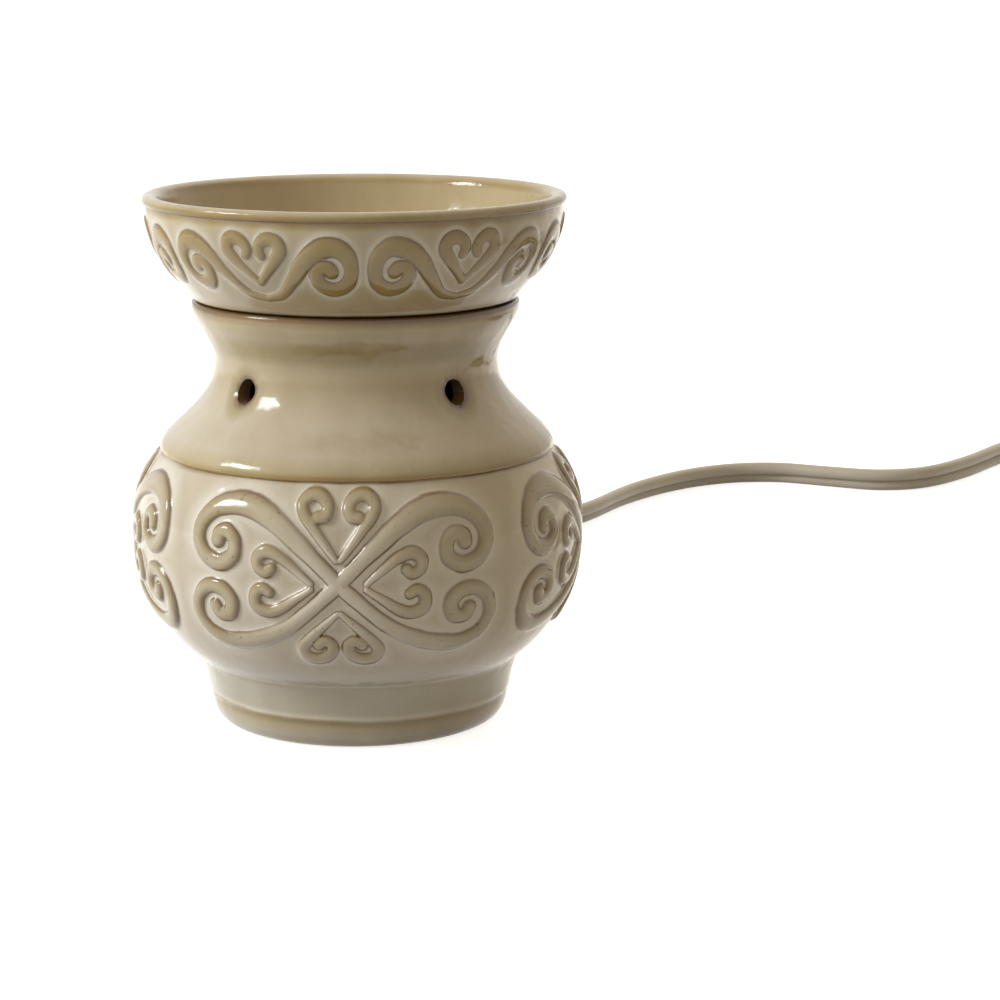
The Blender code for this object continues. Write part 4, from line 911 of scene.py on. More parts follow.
BELLY_ORNAMENT = Ornament(
    scrolls=(
        ((0.3, 45.9, 1.9), (5.5, 51.0, 1.9), (10.2, 55.3, 2.3), (15.8, 59.6, 2.5), (21.7, 62.3, 2.7),
         (27.3, 63.0, 2.6), (32.9, 61.8, 2.4), (36.9, 58.5, 2.2), (37.8, 54.2, 2.1), (35.5, 50.4, 2.1),
         (30.9, 49.0, 2.1), (27.2, 51.0, 1.9), (26.7, 54.4, 1.8), (28.8, 56.6, 1.7), (31.2, 55.9, 1.9),
         (31.6, 54.4, 2.0)),
        ((0.3, 45.2, 1.9), (6.8, 39.5, 1.8), (12.4, 35.1, 1.9), (18.8, 31.9, 2.1), (25.4, 30.1, 2.2),
         (32.0, 29.7, 2.2), (37.0, 31.8, 2.1), (39.2, 35.7, 1.9), (38.4, 40.0, 1.8), (35.0, 42.8, 1.8),
         (30.8, 42.8, 1.9), (28.0, 40.3, 2.0), (28.8, 37.0, 1.9), (32.0, 36.5, 1.8), (33.0, 38.2, 1.9)),
    ),
    hearts=(
        ((0.5, 51.3, 0.8), (2.9, 54.5, 1.1), (5.9, 58.4, 1.35), (8.6, 61.7, 1.55), (9.2, 64.1, 1.6),
         (7.2, 65.8, 1.6), (4.5, 65.6, 1.6), (2.7, 63.6, 1.6), (3.2, 61.4, 1.6), (5.1, 61.0, 1.5)),
        ((0.4, 38.5, 0.8), (4.2, 35.2, 1.15), (7.8, 31.9, 1.4), (9.7, 29.4, 1.7), (8.7, 27.1, 1.7),
         (5.3, 26.6, 1.6), (2.5, 28.2, 1.6), (2.1, 30.5, 1.5), (3.9, 31.6, 1.5), (5.6, 30.4, 1.5)),
        ((6.7, 45.7, 0.8), (10.4, 48.8, 1.1), (14.2, 51.6, 1.45), (17.8, 52.8, 1.7), (20.2, 51.2, 1.6),
         (19.9, 48.9, 1.5), (17.9, 47.9, 1.5), (16.5, 48.9, 1.4)),
        ((6.7, 44.4, 0.8), (10.4, 42.0, 1.1), (14.6, 39.3, 1.45), (17.9, 38.4, 1.6), (20.8, 39.6, 1.7),
         (21.0, 42.4, 1.6), (19.1, 43.9, 1.5), (17.3, 43.1, 1.4)),
    ),
    units=4, turn=math.radians(-1.4), flat_radius=56 * MM, relief=1.15 * MM, crest=0.72, crown=0.42,
)
DISH_ORNAMENT = Ornament(
    scrolls=(
        ((0.0, 109.9, 0.8), (5.7, 111.2, 1.1), (10.5, 115.2, 1.6), (13.8, 118.9, 2.0), (17.0, 121.5, 2.3),
         (20.4, 122.9, 2.4), (23.8, 122.5, 2.2), (26.1, 120.4, 1.9), (26.8, 117.4, 1.7), (26.1, 114.8, 1.7),
         (23.8, 113.1, 1.7), (20.9, 112.8, 1.7), (18.3, 113.9, 1.7), (17.2, 116.0, 1.7), (18.4, 117.8, 1.7),
         (20.4, 118.1, 1.7), (21.4, 117.2, 1.7)),
    ),
    hearts=(
        ((0.3, 114.1, 0.9), (3.2, 116.7, 1.1), (6.0, 119.4, 1.4), (7.9, 121.8, 1.6), (7.2, 123.9, 1.6),
         (4.9, 124.6, 1.6), (2.7, 123.7, 1.4), (1.7, 121.9, 1.3), (2.3, 120.7, 1.2)),
    ),
    units=6, turn=math.radians(35.6), flat_radius=50 * MM, relief=0.65 * MM, crest=0.75, crown=0.40,
)


@dataclass
class Ceramic:
    """What the two glazed pieces share: a profile that is turned, raised and painted."""

    name: str
    body: Body
    node: str
    columns: int
    ornament: Ornament
    glaze: Glaze
    thinning: float = 4.0  # away from the ornament one column in so many is kept
    softening: float = 1.4 * MM
    sharp: float = math.radians(50)

    def profile(self) -> list[Station]:
        """Stations along the profile: radius, height, share of the ornament, and 1 on the inside."""
        raise NotImplementedError

    def cutters(self) -> bpy.types.Object:
        """The spaces of all holes as one helper."""
        return show("no_holes", bpy.data.meshes.new("no_holes"))

    def build(self) -> None:
        """Grows the piece in its place."""
        ornament = self.ornament
        radius, height, band, inner = np.array(self.profile()).T
        places = np.stack([radius, 0 * radius, height], axis=1)
        thinned = np.where(band > 0, 1.0, self.thinning)
        profile = point_mesh("profile_points", places, band=band, inner=inner, thinned=thinned)
        scrolls, hearts = (ornament.points(strokes) for strokes in (ornament.scrolls, ornament.hearts))
        cutters = self.cutters()
        values = {
            "Profile": profile, "Scrolls": scrolls, "Hearts": hearts, "Cutters": cutters,
            "Columns": self.columns, "Units": ornament.units, "Turn": ornament.turn,
            "Flat Radius": ornament.flat_radius,
            "Relief": ornament.relief, "Crest": ornament.crest, "Crown": ornament.crown,
            "Softening": self.softening, "Material": self.glaze.build(),
        }
        piece = grown(self.name, TurnedRelief, values)
        piece.data.set_sharp_from_angle(angle=self.sharp)
        drop(profile, scrolls, hearts, cutters)
        placed(piece, self.body, Slot.GLAZE, self.node)


@dataclass
class WarmerBody(Ceramic):
    """The ceramic body: foot, ornamented belly, neck and mouth, hollow for the lamp.

    Points of the profile are a radius and a height.
    """

    foot_lift: float = 0.2 * MM
    contact_radius: float = 33.4 * MM
    bead: Point2 = (37.3 * MM, 7.0 * MM)
    foot_top: Point2 = (40.2 * MM, 16.4 * MM)
    belly: Point2 = (54.9 * MM, 49.4 * MM)
    fullness: Point2 = (2.8, 2.4)  # below the widest point and above it
    belly_steps: tuple[int, int] = (78, 44)
    band_bottom: float = 24.6 * MM
    band_top: Point2 = (48.2 * MM, 68.2 * MM)
    shoulder: Point2 = (48.8 * MM, 69.0 * MM)
    neck: Point2 = (34.9 * MM, 90.0 * MM)
    mouth: Point2 = (40.3 * MM, 103.8 * MM)
    height: float = 105.2 * MM
    wall: float = 4.2 * MM
    wall_step: float = 4.0 * MM
    mouth_bore: float = 36.2 * MM
    mouth_depth: float = 6.0 * MM
    ring_bore: float = 27.5 * MM
    floor_bottom: float = 7.0 * MM
    floor_top: float = 12.0 * MM
    floor_hole: float = 20.0 * MM
    sides: int = 4  # a vent in the neck and a pad under the foot at each
    vent_radius: float = 3.0 * MM
    vent_height: float = 85.6 * MM
    vent_reach: Point2 = (20 * MM, 60 * MM)
    vent_facets: int = 40
    cord_hole_radius: float = 6.8 * MM
    cord_hole_reach: Point2 = (25 * MM, 70 * MM)
    cord_hole_facets: int = 56
    pad_circle: float = 30.0 * MM
    pocket_radius: float = 2.2 * MM
    pocket_depth: float = 2.0 * MM
    pocket_facets: int = 24

    def outside(self) -> list[Point2]:
        """Draws the outside.

        Returns:
            Points from the foot up to the mouth.
        """
        contact, crown = (self.contact_radius, self.foot_lift), beside(self.bead, 0.55, 1.1)
        points = bezier(contact, (2.6, 0.1), (-0.2, -3.6), self.bead, 10)
        points += bezier(self.bead, (0.3, 0.3), (0.0, -0.4), crown, 3)[1:]
        points += bezier(crown, (0.0, 0.9), (-1.7, -4.4), self.foot_top, 10)[1:]
        low, high = (
            levelling(start, self.belly, power, count)
            for start, power, count in zip((self.foot_top, self.band_top), self.fullness, self.belly_steps)
        )
        points += [p for i, p in enumerate(low[1:], 1) if p[1] > self.band_bottom or i % 3 == 0]
        points += high[-2::-1]
        fall, flare = (self.neck[1] - self.shoulder[1]) / MM, (self.mouth[1] - self.neck[1]) / MM
        points += bezier(self.band_top, (0.5, 0.1), (0.0, -0.4), self.shoulder, 4)[1:]
        points += bezier(self.shoulder, (-0.4, 0.24 * fall), (0.0, -0.5 * fall), self.neck, 20)[1:]
        points += bezier(self.neck, (0.0, 0.4 * flare), (0.0, -0.25 * flare), self.mouth, 14)[1:]
        return points

    def inside(self, outside: Sequence[Point2]) -> list[Point2]:
        """Draws the hollow for the lamp.

        Args:
            outside: the points up the outside.

        Returns:
            Points from the seat of the dish down to the floor.
        """
        wall: list[Point2] = []
        for point in offset_inwards(outside, self.wall):
            above = point[1] > (wall[-1][1] + self.wall_step if wall else self.floor_top + self.wall)
            if above and point[1] < self.height - self.mouth_depth - 1.4 * MM:
                wall.append(point)
        corner = (wall[0][0] - 2.0 * MM, self.floor_top)
        return [(self.mouth_bore, self.height - self.mouth_depth), *wall[::-1], corner]

    def profile(self) -> list[Station]:
        """Draws the whole section: the outside, the rim, the inside, the floor and the foot ring.

        Returns:
            Its stations.
        """
        outside, start = self.outside(), (self.ring_bore, self.foot_lift)
        mouth_top = (self.mouth[0], self.height)
        to_top = (self.height - self.mouth[1]) / MM
        rim = bezier(self.mouth, (0.0, to_top - 0.4), (1.2, 0.0), beside(mouth_top, -1.4, 0.0), 4)[1:]
        bore = (self.mouth_bore, self.height)
        hole = [(self.floor_hole, self.floor_top), (self.floor_hole, self.floor_bottom)]
        rows = [(*start, 0, 1), (*outside[0], 0, 1)]
        for radius, height in outside[1:]:
            on_band = self.band_bottom < height < self.band_top[1] + 0.1 * MM
            rows.append((radius, height, float(on_band), 0))
        rows += [(*p, 0, 0) for p in (*rim, beside(bore, 0.5, 0.0))]
        under = (self.ring_bore, self.floor_bottom)
        rows += [(*p, 0, 1) for p in (beside(bore, 0.0, -0.6), *self.inside(outside), *hole, under, start)]
        return rows

    def cutters(self) -> bpy.types.Object:
        """Makes the spaces of the vents, the cord hole and the pockets of the pads.

        Returns:
            One helper.
        """
        bm = bmesh.new()
        for k in range(self.sides):
            angle = math.pi / 4 + math.tau / self.sides * k
            way = Vector((math.cos(angle), math.sin(angle), 0))
            vent = (Vector((0, 0, self.vent_height)) + way * far for far in self.vent_reach)
            rod(bm, self.vent_radius, *vent, self.vent_facets)
            pocket = (way * self.pad_circle + Vector((0, 0, z)) for z in (-MM, self.pocket_depth))
            rod(bm, self.pocket_radius, *pocket, self.pocket_facets)
        cord_hole = (Vector((0, far, EXIT_HEIGHT)) for far in self.cord_hole_reach)
        rod(bm, self.cord_hole_radius, *cord_hole, self.cord_hole_facets)
        mesh = bpy.data.meshes.new("holes")
        bm.to_mesh(mesh)
        bm.free()
        return show("holes", mesh)


@dataclass
class WaxDish(Ceramic):
    """The open dish that stands on the mouth of the body."""

    seat: float = 105.5 * MM
    foot_radius: float = 40.0 * MM
    wall_radius: float = 51.0 * MM
    rim_radius: float = 51.8 * MM
    depth: float = 25.5 * MM
    lip_height: float = 2.5 * MM
    lip_width: float = 4.0 * MM
    floor: float = 4.6 * MM
    bowl_radius: float = 30.0 * MM
    spigot_radius: float = 35.4 * MM
    spigot_depth: float = 3.6 * MM
    spigot_width: float = 4.0 * MM
    band_bottom: float = 2.2 * MM
    band_gap: float = 0.6 * MM
    edge: float = 0.6  # mm, like the handles of curves

    def profile(self) -> list[Station]:
        """Draws the section from the middle of the underside, up the outside and down into the bowl.

        Returns:
            Its stations.
        """
        lip, bore = self.depth - self.lip_height, self.spigot_radius - self.spigot_width
        spigot, foot = (self.spigot_radius, -self.spigot_depth), (self.foot_radius, 0.0)
        under = [(0.0, 0.0), (bore, 0.0), (bore, -self.spigot_depth)]
        under += [beside(spigot, -self.edge, 0.0), beside(spigot, 0.0, self.edge), (self.spigot_radius, 0.0)]
        swell, rise = (self.wall_radius - self.foot_radius) / MM, lip / MM
        foot_handle, wall_handle = (0.13 * swell, 0.16 * rise - self.edge), (-0.04 * swell, -0.6 * rise)
        outside = bezier(beside(foot, 0.0, self.edge), foot_handle, wall_handle, (self.wall_radius, lip), 60)
        top, bulge = (self.rim_radius, self.depth), (self.rim_radius - self.wall_radius) / MM
        rim = bezier(outside[-1], (bulge + 0.1, 0.1), (0.8, -0.55), beside(top, -0.6, -0.35), 7)[1:]
        width = self.lip_width / MM
        rim += bezier(rim[-1], (-0.7, 0.45), (width - 2.6, 1.1), beside(top, -width, -1.0), 7)[1:]
        bowl_foot = (self.bowl_radius, self.floor)
        across, fall = (rim[-1][0] - self.bowl_radius) / MM, (rim[-1][1] - self.floor) / MM
        bowl = bezier(rim[-1], (-0.1 * across, -0.64 * fall), (0.62 * across, 0.0), bowl_foot, 20)[1:]
        rows = [(*p, 0, 1) for p in under]
        rows += [(*p, 0, 0) for p in (beside(foot, -self.edge, 0.0), beside(foot, -0.15, 0.25))]
        rows += [(*p, float(self.band_bottom < p[1] < lip - self.band_gap), 0) for p in outside]
        rows += [(*p, 0, 0) for p in rim]
        rows += [(*p, 0, 1) for p in (*bowl, (self.bowl_radius / 2, self.floor), (0.0, self.floor))]
        return [(radius, height + self.seat, band, inner) for radius, height, band, inner in rows]


BODY_GLAZE = Glaze(
    name="body_glaze",
    zones=(
        (0.0, Tint.GREIGE), (3.0 * MM, Tint.STONE), (5.2 * MM, Tint.GREIGE), (6.4 * MM, Tint.TAN),
        # the pale line at 8.1 mm, on the crown of the foot's ridge, is partly the glaze and partly painted
        # highlight
        (7.2 * MM, Tint.SAND), (8.1 * MM, Tint.POOL), (9.2 * MM, Tint.STONE), (15.8 * MM, Tint.STONE),
        (16.4 * MM, Tint.GREIGE), (17.2 * MM, Tint.STONE), (25.0 * MM, Tint.CREAM), (67.4 * MM, Tint.CREAM),
        (68.2 * MM, Tint.OCHRE), (68.8 * MM, Tint.SAND), (69.9 * MM, Tint.HONEY), (73.4 * MM, Tint.CREAM),
        # the greige and tan on the neck from 88 mm to 97 mm are partly the glaze and partly painted shade
        # under the dish
        (80.0 * MM, Tint.CREAM), (88.0 * MM, Tint.GREIGE), (92.4 * MM, Tint.GREIGE), (94.8 * MM, Tint.TAN),
        (97.0 * MM, Tint.TAN), (99.4 * MM, Tint.GREIGE), (102.2 * MM, Tint.HONEY), (103.8 * MM, Tint.OCHRE),
        (105.0 * MM, Tint.BROWN),
    ),
    lining=((0.0, Tint.GREIGE), (60.0 * MM, Tint.GREIGE), (106.0 * MM, Tint.GREIGE)),
    stroke=Tint.TAN,
    pale_start=0.15,
    bloom=0.7,
    crest_cover=0.65,
)
DISH_GLAZE = Glaze(
    name="dish_glaze",
    zones=(
        (105.5 * MM, Tint.BROWN), (106.2 * MM, Tint.TAN), (107.2 * MM, Tint.GREIGE),
        # the sand and ochre from 127.6 mm to 128.7 mm, in the crease under the lip, are partly the glaze and
        # partly painted shadow of the lip
        (124.6 * MM, Tint.GREIGE), (126.4 * MM, Tint.HONEY), (127.6 * MM, Tint.SAND),
        (128.3 * MM, Tint.OCHRE), (128.7 * MM, Tint.OCHRE), (129.3 * MM, Tint.SAND),
        (130.2 * MM, Tint.HONEY), (131.2 * MM, Tint.CREAM),
    ),
    lining=(
        (101.0 * MM, Tint.TAN), (109.0 * MM, Tint.HONEY), (128.0 * MM, Tint.HONEY),
        (131.0 * MM, Tint.HONEY),
    ),
    stroke=Tint.SAND,
    pale_start=0.75,
    bloom=0.25,
    crest_cover=0.92,
)


@dataclass
class FlatCord:
    """A flat two-core cord along a route, leaning over by an angle that changes on the way.

    A route's points are x, y, z in metres and the lean in degrees, 0 lying flat and 90 on edge.
    """

    width: float = 8.4 * MM
    thickness: float = 4.2 * MM
    web: float = 0.30  # how thick the middle is, as a share of the lobes
    step: float = 3.0 * MM
    sharp: float = math.radians(60)

    def lay(self, name: str, route: np.ndarray, slot: Slot, *nodes: str) -> bpy.types.Object:
        """Grows the cord on its route.

        Args:
            name: the piece's name.
            route: even points with their lean.
            slot: its jacket.
            nodes: the CAD nodes that it replaces.

        Returns:
            The swept piece.
        """
        curve = bpy.data.curves.new("cord_route", "CURVE")
        curve.dimensions = "3D"
        spline = curve.splines.new("POLY")
        spline.points.add(len(route) - 1)
        for target, (x, y, z, lean) in zip(spline.points, route):
            target.co = (x, y, z, 1.0)
            target.tilt = -math.radians(lean)
        helper = show("cord_route", curve)
        sizes = {"Width": self.width, "Thickness": self.thickness, "Web": self.web}
        piece = grown(name, CordSweep, {"Route": helper, **sizes, "Material": look(slot)})
        piece.data.set_sharp_from_angle(angle=self.sharp)
        drop(helper)
        placed(piece, Body.WARMER, slot, *nodes)
        return piece

    def resting(self, lean: float) -> float:
        """The height of the cord's middle on the table at a lean."""
        return GAP + self.thickness / 2 + (self.width - self.thickness) / 2 * math.sin(math.radians(lean))


@dataclass
class CordRun:
    """The way of the cord: out of the body, over the table to the switch, into its coil and on to the plug.

    The stations off the wall are x, y, z and the lean. Those on the table are x, y and the lean.
    """

    cord: FlatCord = field(default_factory=FlatCord)
    off_wall: tuple[Station, ...] = (
        (0.0022, 0.1080, 0.0165, 4), (0.0080, 0.1300, 0.0105, 12), (0.0170, 0.1520, 0.0062, 22),
    )
    on_table: tuple[Point3, ...] = (
        (0.0290, 0.1745, 34), (0.0440, 0.1955, 44), (0.0614, 0.2164, 52), (0.0775, 0.2470, 54),
        (0.0955, 0.2700, 54), (0.1140, 0.2825, 54), (0.1320, 0.2845, 55), (0.1490, 0.2775, 57),
        (0.1660, 0.2710, 62), (0.1830, 0.2755, 68), (0.2000, 0.2935, 74), (0.2170, 0.3195, 76),
        (0.2350, 0.3440, 74), (0.2575, 0.3560, 60), (0.2790, 0.3480, 40), (0.2910, 0.3270, 16),
    )
    switch_half: float = 29.3 * MM
    switch_entry: float = 5.9 * MM
    straight: float = 16.8 * MM
    coil_place: Point2 = (0.247, 0.125)
    coil_pitch: float = 9.0 * MM
    coil_inner: float = 36.5 * MM
    coil_bottom: float = 5.8 * MM
    turns_in: float = 2.0
    turns_up: float = 0.5
    turns_out: float = 1.5
    loop_points: int = 48

    def lead(self) -> np.ndarray:
        """Lays the way from the strain relief to the switch.

        Returns:
            Points with lean.
        """
        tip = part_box("cord_strain_relief")[1].y + GAP
        stations = [(0.0, tip, EXIT_HEIGHT, 0), (0.0, tip + self.straight, EXIT_HEIGHT, 0), *self.off_wall]
        stations += [(x, y, self.cord.resting(lean), lean) for x, y, lean in self.on_table]
        entry = SWITCH_PLACE + Vector((0, self.switch_half, self.switch_entry))
        stations += [(entry.x, entry.y + self.straight, entry.z, 0), (*entry, 0)]
        return even_line(smooth_line(stations, SPAN_POINTS), self.cord.step)

    def coil(self) -> np.ndarray:
        """Winds the coil: in on the lower layer, up in half a turn, out on the upper layer.

        Returns:
            Points with lean.
        """
        whole = self.turns_in + self.turns_up + self.turns_out
        turns = np.arange(round(whole * self.loop_points) + 1) / self.loop_points
        climb = np.clip((turns - self.turns_in) / self.turns_up, 0, 1)
        out = np.maximum(turns - self.turns_in - self.turns_up, 0)
        radius = self.coil_inner + self.coil_pitch * (np.maximum(self.turns_in - turns, 0) + out)
        radius -= self.coil_pitch / 4 * (1 - np.abs(2 * climb - 1))
        height = self.coil_bottom + self.coil_pitch * climb * climb * (3 - 2 * climb)
        angle = -math.tau * turns
        x, y = self.coil_place[0] + radius * np.cos(angle), self.coil_place[1] + radius * np.sin(angle)
        return np.stack([x, y, height, np.full_like(x, 90.0)], axis=1)

    def rest(self) -> np.ndarray:
        """Lays the way from the switch through the coil to the plug.

        Returns:
            Points with lean.
        """
        coil = self.coil()
        way_in, way_out = (w / np.linalg.norm(w[:3]) for w in (coil[1] - coil[0], coil[-1] - coil[-2]))
        leave = SWITCH_PLACE + Vector((0, -self.switch_half, self.switch_entry))
        before, after = coil[0] - way_in * self.straight, coil[-1] + way_out * self.straight
        heading = Vector((math.cos(PLUG_HEADING), math.sin(PLUG_HEADING), 0))
        plug = PLUG_PLACE - heading * GAP
        link = [(*leave, 0), (leave.x, leave.y - self.straight, leave.z, 20), (*before[:3], 80), coil[0]]
        tail = [coil[-1], (*after[:3], 80), (*(plug - heading * self.straight), 10), (*plug, 0)]
        whole = np.vstack([smooth_line(link, SPAN_POINTS)[:-1], coil, smooth_line(tail, SPAN_POINTS)[1:]])
        return even_line(whole, self.cord.step)

    def build(self) -> None:
        """Lays both lengths of the cord."""
        on_lead = (
            "switch_base", "switch_cover", "knurled_wheel", "switch_axle",
            "switch_contact_in", "switch_contact_out", "switch_screw_1", "switch_screw_2",
        )
        on_rest = ("plug_moulding", "live_blade", "neutral_blade", "coil_strap")
        for name, route, nodes, far_end, lay, on_it in (
            ("lead_cord", self.lead(), ("cord_lead",), "fitting", "loose", on_lead),
            ("coiled_cord", self.rest(), ("cord_link", "cord_coil", "cord_tail"), "plug", "coiled", on_rest),
        ):
            piece = self.cord.lay(name, route, Slot.CORD, *nodes)


@dataclass
class SmallTurning:
    """A small turned piece, ribbed or plain.

    Each station is a radius and a height in mm and the share of the ribs' depth there.
    """

    stations: Sequence[Point3]
    place: Matrix
    ribs: int = 0
    depth: float = 0.0
    columns: int = 96

    def build(self, name: str, body: Body, slot: Slot, node: str) -> None:
        """Grows the piece in its place.

        Args:
            name: the piece's name.
            body: what it rides on.
            slot: its finish.
            node: the CAD node that it replaces.
        """
        radius, height, share = np.array(self.stations, float).T
        points = np.stack([radius * MM, 0 * radius, height * MM], axis=1)
        profile = point_mesh("turning_points", points, rib=share)
        sizes = {"Columns": self.columns, "Ribs": float(self.ribs), "Depth": self.depth}
        piece = grown(name, RibbedTurning, {"Profile": profile, **sizes, "Material": look(slot)})
        piece.data.transform(self.place)
        piece.data.set_sharp_from_angle(angle=SMALL_SHARP)
        drop(profile)
        placed(piece, body, slot, node)


@dataclass
class StrainRelief:
    """The tapered sleeve that holds the cord in the wall, with rings round it.

    Its sizes are in mm.
    """

    head: Point2 = (7.6, 2.4)  # radius and thickness
    shaft: float = 6.5
    tip: float = 5.0
    taper: float = 24.0
    rings: int = 5
    groove: float = 0.9
    ends: float = 3.0

    def build(self) -> None:
        """Grows the sleeve where its CAD solid lies."""
        back, end = (corner.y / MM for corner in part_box("cord_strain_relief"))
        start, radius, neck = end - self.taper, self.head[0], back + self.head[1]
        stations = [(0.0, back), (radius - 0.5, back), (radius, back + 0.5), (radius, neck - 0.4)]
        stations += [(radius - 0.4, neck), (self.shaft, neck), (self.shaft, start)]
        step = (self.taper - self.ends) / self.rings
        for k in range(self.rings):
            at = start + 1.0 + k * step
            outer = self.shaft + (self.tip - self.shaft) * (at - start) / self.taper
            inner, rise = outer - self.groove, at + 0.40 * step
            stations += [(outer, at), (outer - 0.25, at + 0.3), (inner, at + 0.55), (inner, rise)]
            stations += [(outer - 0.35, rise + 0.25), (outer - 0.1, rise + 0.55)]
        stations += [(self.tip, end - 1.0), (self.tip - 0.3, end - 0.3), (self.tip - 0.9, end), (0.0, end)]
        turn = Matrix.Translation((0, 0, EXIT_HEIGHT)) @ Matrix.Rotation(-math.pi / 2, 4, "X")
        sleeve = SmallTurning([(r, z, 0.0) for r, z in stations], turn)
        sleeve.build("ringed_sleeve", Body.WARMER, Slot.CORD, "cord_strain_relief")


@dataclass
class ThumbWheel:
    """The knurled wheel of the cord switch, on its axle. Radii and widths in mm."""

    axle_height: float = 11.5 * MM
    radius: float = 6.6
    half_width: float = 3.0
    bore: float = 1.6
    ribs: int = 18
    rib_depth: float = 0.5 * MM
    rib_columns: int = 12

    def build(self) -> None:
        """Grows the wheel with a groove in each face."""
        side = [(self.bore, 0.0, 0.0), (2.7, 0.0, 0.0), (2.9, 0.35, 0.0), (4.5, 0.35, 0.0), (4.7, 0.0, 0.0)]
        side += [(self.radius - 0.5, 0.0, 0.5), (self.radius - 0.15, 0.15, 0.9), (self.radius, 0.5, 1.0)]
        stations = [(r, inset - self.half_width, share) for r, inset, share in side]
        stations += [(r, self.half_width - inset, share) for r, inset, share in side[::-1]]
        stations.append(stations[0])
        axle = SWITCH_PLACE + Vector((0, 0, self.axle_height))
        turn = Matrix.Translation(axle) @ Matrix.Rotation(math.pi / 2, 4, "Y")
        wheel = SmallTurning(stations, turn, self.ribs, self.rib_depth, self.rib_columns * self.ribs)
        wheel.build("knurled_wheel", Body.WHEEL, Slot.BROWN, "switch_wheel")


@dataclass
class PlugMoulding:
    """The moulded plug: a ringed tail for the cord, a shoulder and a waisted grip. Sizes in mm."""

    tail: Point3 = (5.2, 6.2, 16.0)  # radius at its end, radius at the shoulder, length
    shoulder: float = 7.0
    half: Point2 = (12.5, 7.0)  # half the width and half the height
    length: float = 38.0
    edge: float = 1.2
    waist: float = 0.7
    roundness: float = 2.0
    squareness: float = 4.0
    rings: int = 4
    groove: float = 0.8
    ends: float = 3.0
    points: int = 80

    def tail_sections(self) -> list[Point2]:
        """Draws the ringed tail.

        Returns:
            How far along each of its stations lies, and its radius.
        """
        thin, thick, tail = self.tail
        stations = [(0.0, thin - 0.8), (0.3, thin - 0.2), (0.8, thin)]
        ring = ((0.0, 0.0), (0.25, 0.25), (0.5, self.groove), (1.3, self.groove), (1.6, 0.2), (1.9, 0.0))
        for k in range(self.rings):
            at = 1.6 + k * (tail - self.ends) / self.rings
            radius = thin + (thick - thin) * at / tail
            stations += [(at + along, radius - deep) for along, deep in ring]
        return stations

    def sections(self) -> list[Station]:
        """Draws the whole plug.

        Returns:
            Stations along it: how far, half width, half height and squareness.
        """
        thick, tail = self.tail[1:]
        full, edge = tail + self.shoulder, self.length - self.edge
        stations = [(along, radius, radius, self.roundness) for along, radius in self.tail_sections()]
        for t in np.linspace(0, 1, 12):
            share = t * t * (3 - 2 * t)
            wide, high = (thick + (size - thick) * share for size in self.half)
            square = self.roundness + (self.squareness - self.roundness) * share
            stations.append((tail + self.shoulder * t, wide, high, square))
        for t in np.linspace(0, 1, 14)[1:]:
            wide = self.half[0] - self.waist * math.sin(math.pi * t) ** 2
            stations.append((full + (edge - full) * t, wide, self.half[1], self.squareness))
        for angle in np.linspace(0, math.pi / 2, 6)[1:]:
            inset = self.edge * (1 - math.cos(angle))
            along = edge + self.edge * math.sin(angle)
            stations.append((along, self.half[0] - inset, self.half[1] - inset, self.squareness))
        return stations

    def build(self) -> None:
        """Skins the sections where the CAD plug lies, with flat ends."""
        angle = np.linspace(0, math.tau, self.points, endpoint=False)
        cos, sin = np.cos(angle), np.sin(angle)
        rings = []
        for along, wide, high, square in self.sections():
            x, y = (np.copysign(np.abs(c) ** (2 / square), c) for c in (cos, sin))
            rings.append(np.stack([np.full_like(x, along), wide * x, high * y], axis=1) * MM)
        count, last = self.points, (len(rings) - 1) * self.points
        faces: list[tuple[int, ...]] = []
        for start in range(0, last, count):
            for k in range(count):
                after = (k + 1) % count
                faces.append((start + k, start + after, start + count + after, start + count + k))
        faces += [tuple(range(count))[::-1], tuple(range(last, last + count))]
        mesh = bpy.data.meshes.new("plug_moulding")
        mesh.from_pydata(np.vstack(rings).tolist(), [], faces)
        piece = finished(mesh, Slot.IVORY, SMALL_SHARP)
        piece.data.transform(Matrix.Translation(PLUG_PLACE) @ Matrix.Rotation(PLUG_HEADING, 4, "Z"))
        placed(piece, Body.WARMER, Slot.IVORY, "plug_body")


def finished(mesh: bpy.types.Mesh, slot: Slot, sharp: float) -> bpy.types.Object:
    """Turns a mesh's faces outwards and shades it smooth but for its sharp edges.

    Args:
        mesh: the mesh, with the piece's name.
        slot: its finish.
        sharp: the angle above which an edge is sharp.

    Returns:
        The piece.
    """
    bm = bmesh.new()
    bm.from_mesh(mesh)
    bmesh.ops.recalc_face_normals(bm, faces=bm.faces[:])
    bm.to_mesh(mesh)
    bm.free()
    mesh.materials.clear()
    mesh.materials.append(look(slot))
    mesh.shade_smooth()
    mesh.set_sharp_from_angle(angle=sharp)
    log.info("%s: %d faces", mesh.name, len(mesh.polygons))
    return show(mesh.name, mesh)


